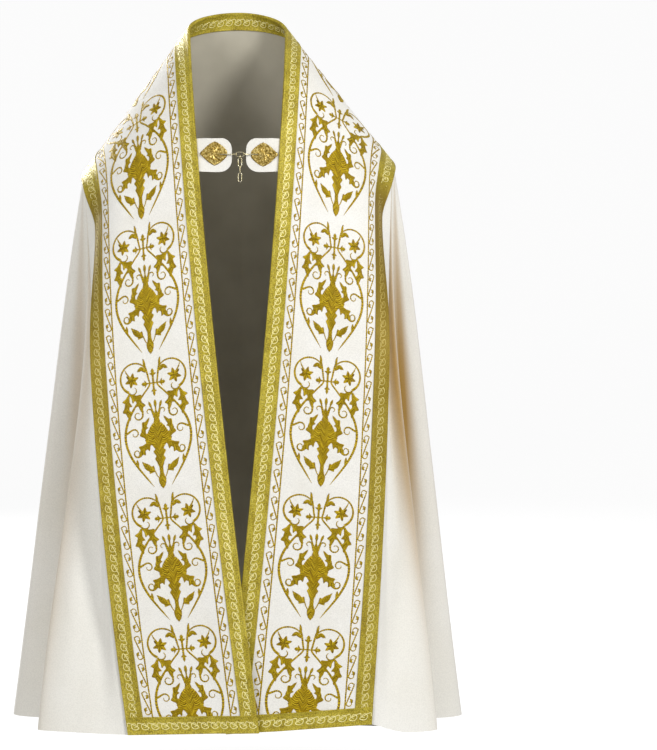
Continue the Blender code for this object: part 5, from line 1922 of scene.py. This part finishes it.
wire_y = PLATE_BACK - PLATE_WALL - LAYER_GAP - HOOK_WIRE
ring_centre = np.array([RING_X, wire_y, CLASP_Z])
ring_path = stadium(ring_centre, ACROSS, RING_LONG / 2 - RING_WIRE, UPWARD,
                    RING_TALL / 2 - RING_WIRE)
make_wire("morse_ring", ring_path, RING_WIRE, closed=True)
bend = HOOK_WIRE + RING_WIRE + LAYER_GAP
for side, shoulder in SHOULDERS.items():
    sign = shoulder["sign"]
    wire_x = RING_X + sign * (RING_LONG / 2 - RING_WIRE)
    turn = np.linspace(0, math.pi, 15)
    hook = np.stack([wire_x - sign * bend * np.sin(turn), wire_y - bend * np.cos(turn),
                     np.full_like(turn, CLASP_Z)], axis=-1)
    bar = [[sign * HOOK_END, wire_y, CLASP_Z], [wire_x + sign * HOOK_RISE, wire_y, CLASP_Z],
           [wire_x + sign * HOOK_NECK, wire_y - bend * HOOK_RAISED, CLASP_Z]]
    make_wire(f"morse_hook_{side}", [*bar, *hook], HOOK_WIRE)

hang = ring_centre + [0, 0, -(RING_TALL / 2 - RING_WIRE)]
reach = RING_WIRE + CHAIN_WIRE + CHAIN_PLAY
for number, length in enumerate(CHAIN_LINKS, start=1):
    half_long = length / 2 - CHAIN_WIRE
    wide = FORWARD if number % 2 else ACROSS
    centre = hang + [0, 0, reach - half_long]
    path = stadium(centre, UPWARD, half_long, wide, CHAIN_WIDE / 2 - CHAIN_WIRE)
    make_wire(f"chain_link_{number}", path, CHAIN_WIRE, f"chain_{number}", closed=True)
    hang = hang + [0, 0, reach - 2 * half_long]
    reach = 2 * CHAIN_WIRE + CHAIN_PLAY
print("clasp: 2 tabs, 2 medallions, 2 hooks, a ring and", len(CHAIN_LINKS), "links")

# %% [markdown]
# ## The sheets of cloth
#
# The cope is close to a half circle. The line below prints how many sheets of cloth it has.

print("sheets declared:", 1 + len(orphreys) + 2 + len(tabs))

# %% [markdown]
# ## The stage and the light
#
# A white floor curves up all round into a wall, like a photographer's cove, so that the background
# is plain from any side. It glows a little, and only the camera sees it: light passes through it,
# so the cloth is lit by the soft room around it and by three large lamps alone.

# %% Stage and lights
FLOOR_Z = -1.46
COVE_RADIUS, COVE_BEND, COVE_TALL, COVE_SIDES = 11.0, 3.0, 9.0, 96
COVE_FLOOR_RINGS = 11
COVE_GLOW = 0.80
ROOM_LIGHT = 0.47
LAMP_AIM = (0.0, 0.0, -0.6)
# Each lamp's place, its size across in metres and its power in watts.
LAMPS = {
    "key": ((3.3, -3.7, 1.7), 1.6, 170),
    "fill": ((-3.2, -4.0, 0.8), 2.4, 82),
    "behind": ((-2.6, 4.2, 2.0), 2.0, 190),
}


def make_cove():
    """A profile of floor, quarter round and wall, turned once round the upright axis."""
    turn = np.linspace(-math.pi / 2, 0, 20)
    level = np.linspace(0.01, COVE_RADIUS - COVE_BEND, COVE_FLOOR_RINGS + 1)[:-1]
    reach = np.concatenate([level, COVE_RADIUS - COVE_BEND + COVE_BEND * np.cos(turn),
                            [COVE_RADIUS]])
    height = np.concatenate([np.zeros(COVE_FLOOR_RINGS), COVE_BEND + COVE_BEND * np.sin(turn),
                             [COVE_TALL]])
    angle = np.linspace(0, math.tau, COVE_SIDES, endpoint=False)[:, None]
    points = np.stack([reach * np.cos(angle), reach * np.sin(angle),
                       FLOOR_Z + np.broadcast_to(height, (COVE_SIDES, len(height)))], axis=-1)
    index = np.arange(points[..., 0].size).reshape(COVE_SIDES, -1)
    index = np.vstack([index, index[:1]])
    faces = [*grid_quads(index, flip=True).tolist(), index[:-1, 0].tolist()]
    mesh = bpy.data.meshes.new("cove")
    mesh.from_pydata(points.reshape(-1, 3).tolist(), [], faces)
    mesh.polygons.foreach_set("use_smooth", np.ones(len(mesh.polygons), bool))
    f = Finish("studio_white")
    mesh.materials.append(f.finish((0.30, 0.30, 0.30), 0.9, emission_color=(1.0, 1.0, 1.0, 1.0),
                                   emission_strength=COVE_GLOW, specular_ior_level=0.1))
    cove = bpy.data.objects.new("cove", mesh)
    bpy.context.scene.collection.objects.link(cove)
    cove.visible_diffuse = cove.visible_glossy = False
    cove.visible_transmission = cove.visible_shadow = False


def add_lamp(name, place, size, power):
    """A round lamp, turned so that it looks at the aim: a lamp shines down its own -Z."""
    data = bpy.data.lights.new(name, "AREA")
    data.shape, data.size, data.energy = "DISK", size, power
    lamp = bpy.data.objects.new(name, data)
    lamp.location = place
    towards = np.array(LAMP_AIM) - np.array(place)
    flat = math.hypot(towards[0], towards[1])
    lamp.rotation_euler = (math.atan2(flat, -towards[2]), 0.0,
                           math.atan2(towards[1], towards[0]) - math.pi / 2)
    bpy.context.scene.collection.objects.link(lamp)


make_cove()
for name, (place, size, power) in LAMPS.items():
    add_lamp(name, place, size, power)
world = bpy.data.worlds.new("room")
world.use_nodes = True
room = world.node_tree.nodes["Background"]
room.inputs["Color"].default_value = (1.0, 1.0, 1.0, 1.0)
room.inputs["Strength"].default_value = ROOM_LIGHT
bpy.context.scene.world = world
bpy.context.scene.view_settings.view_transform = "Standard"
print("the stage, and lamps:", ", ".join(LAMPS))
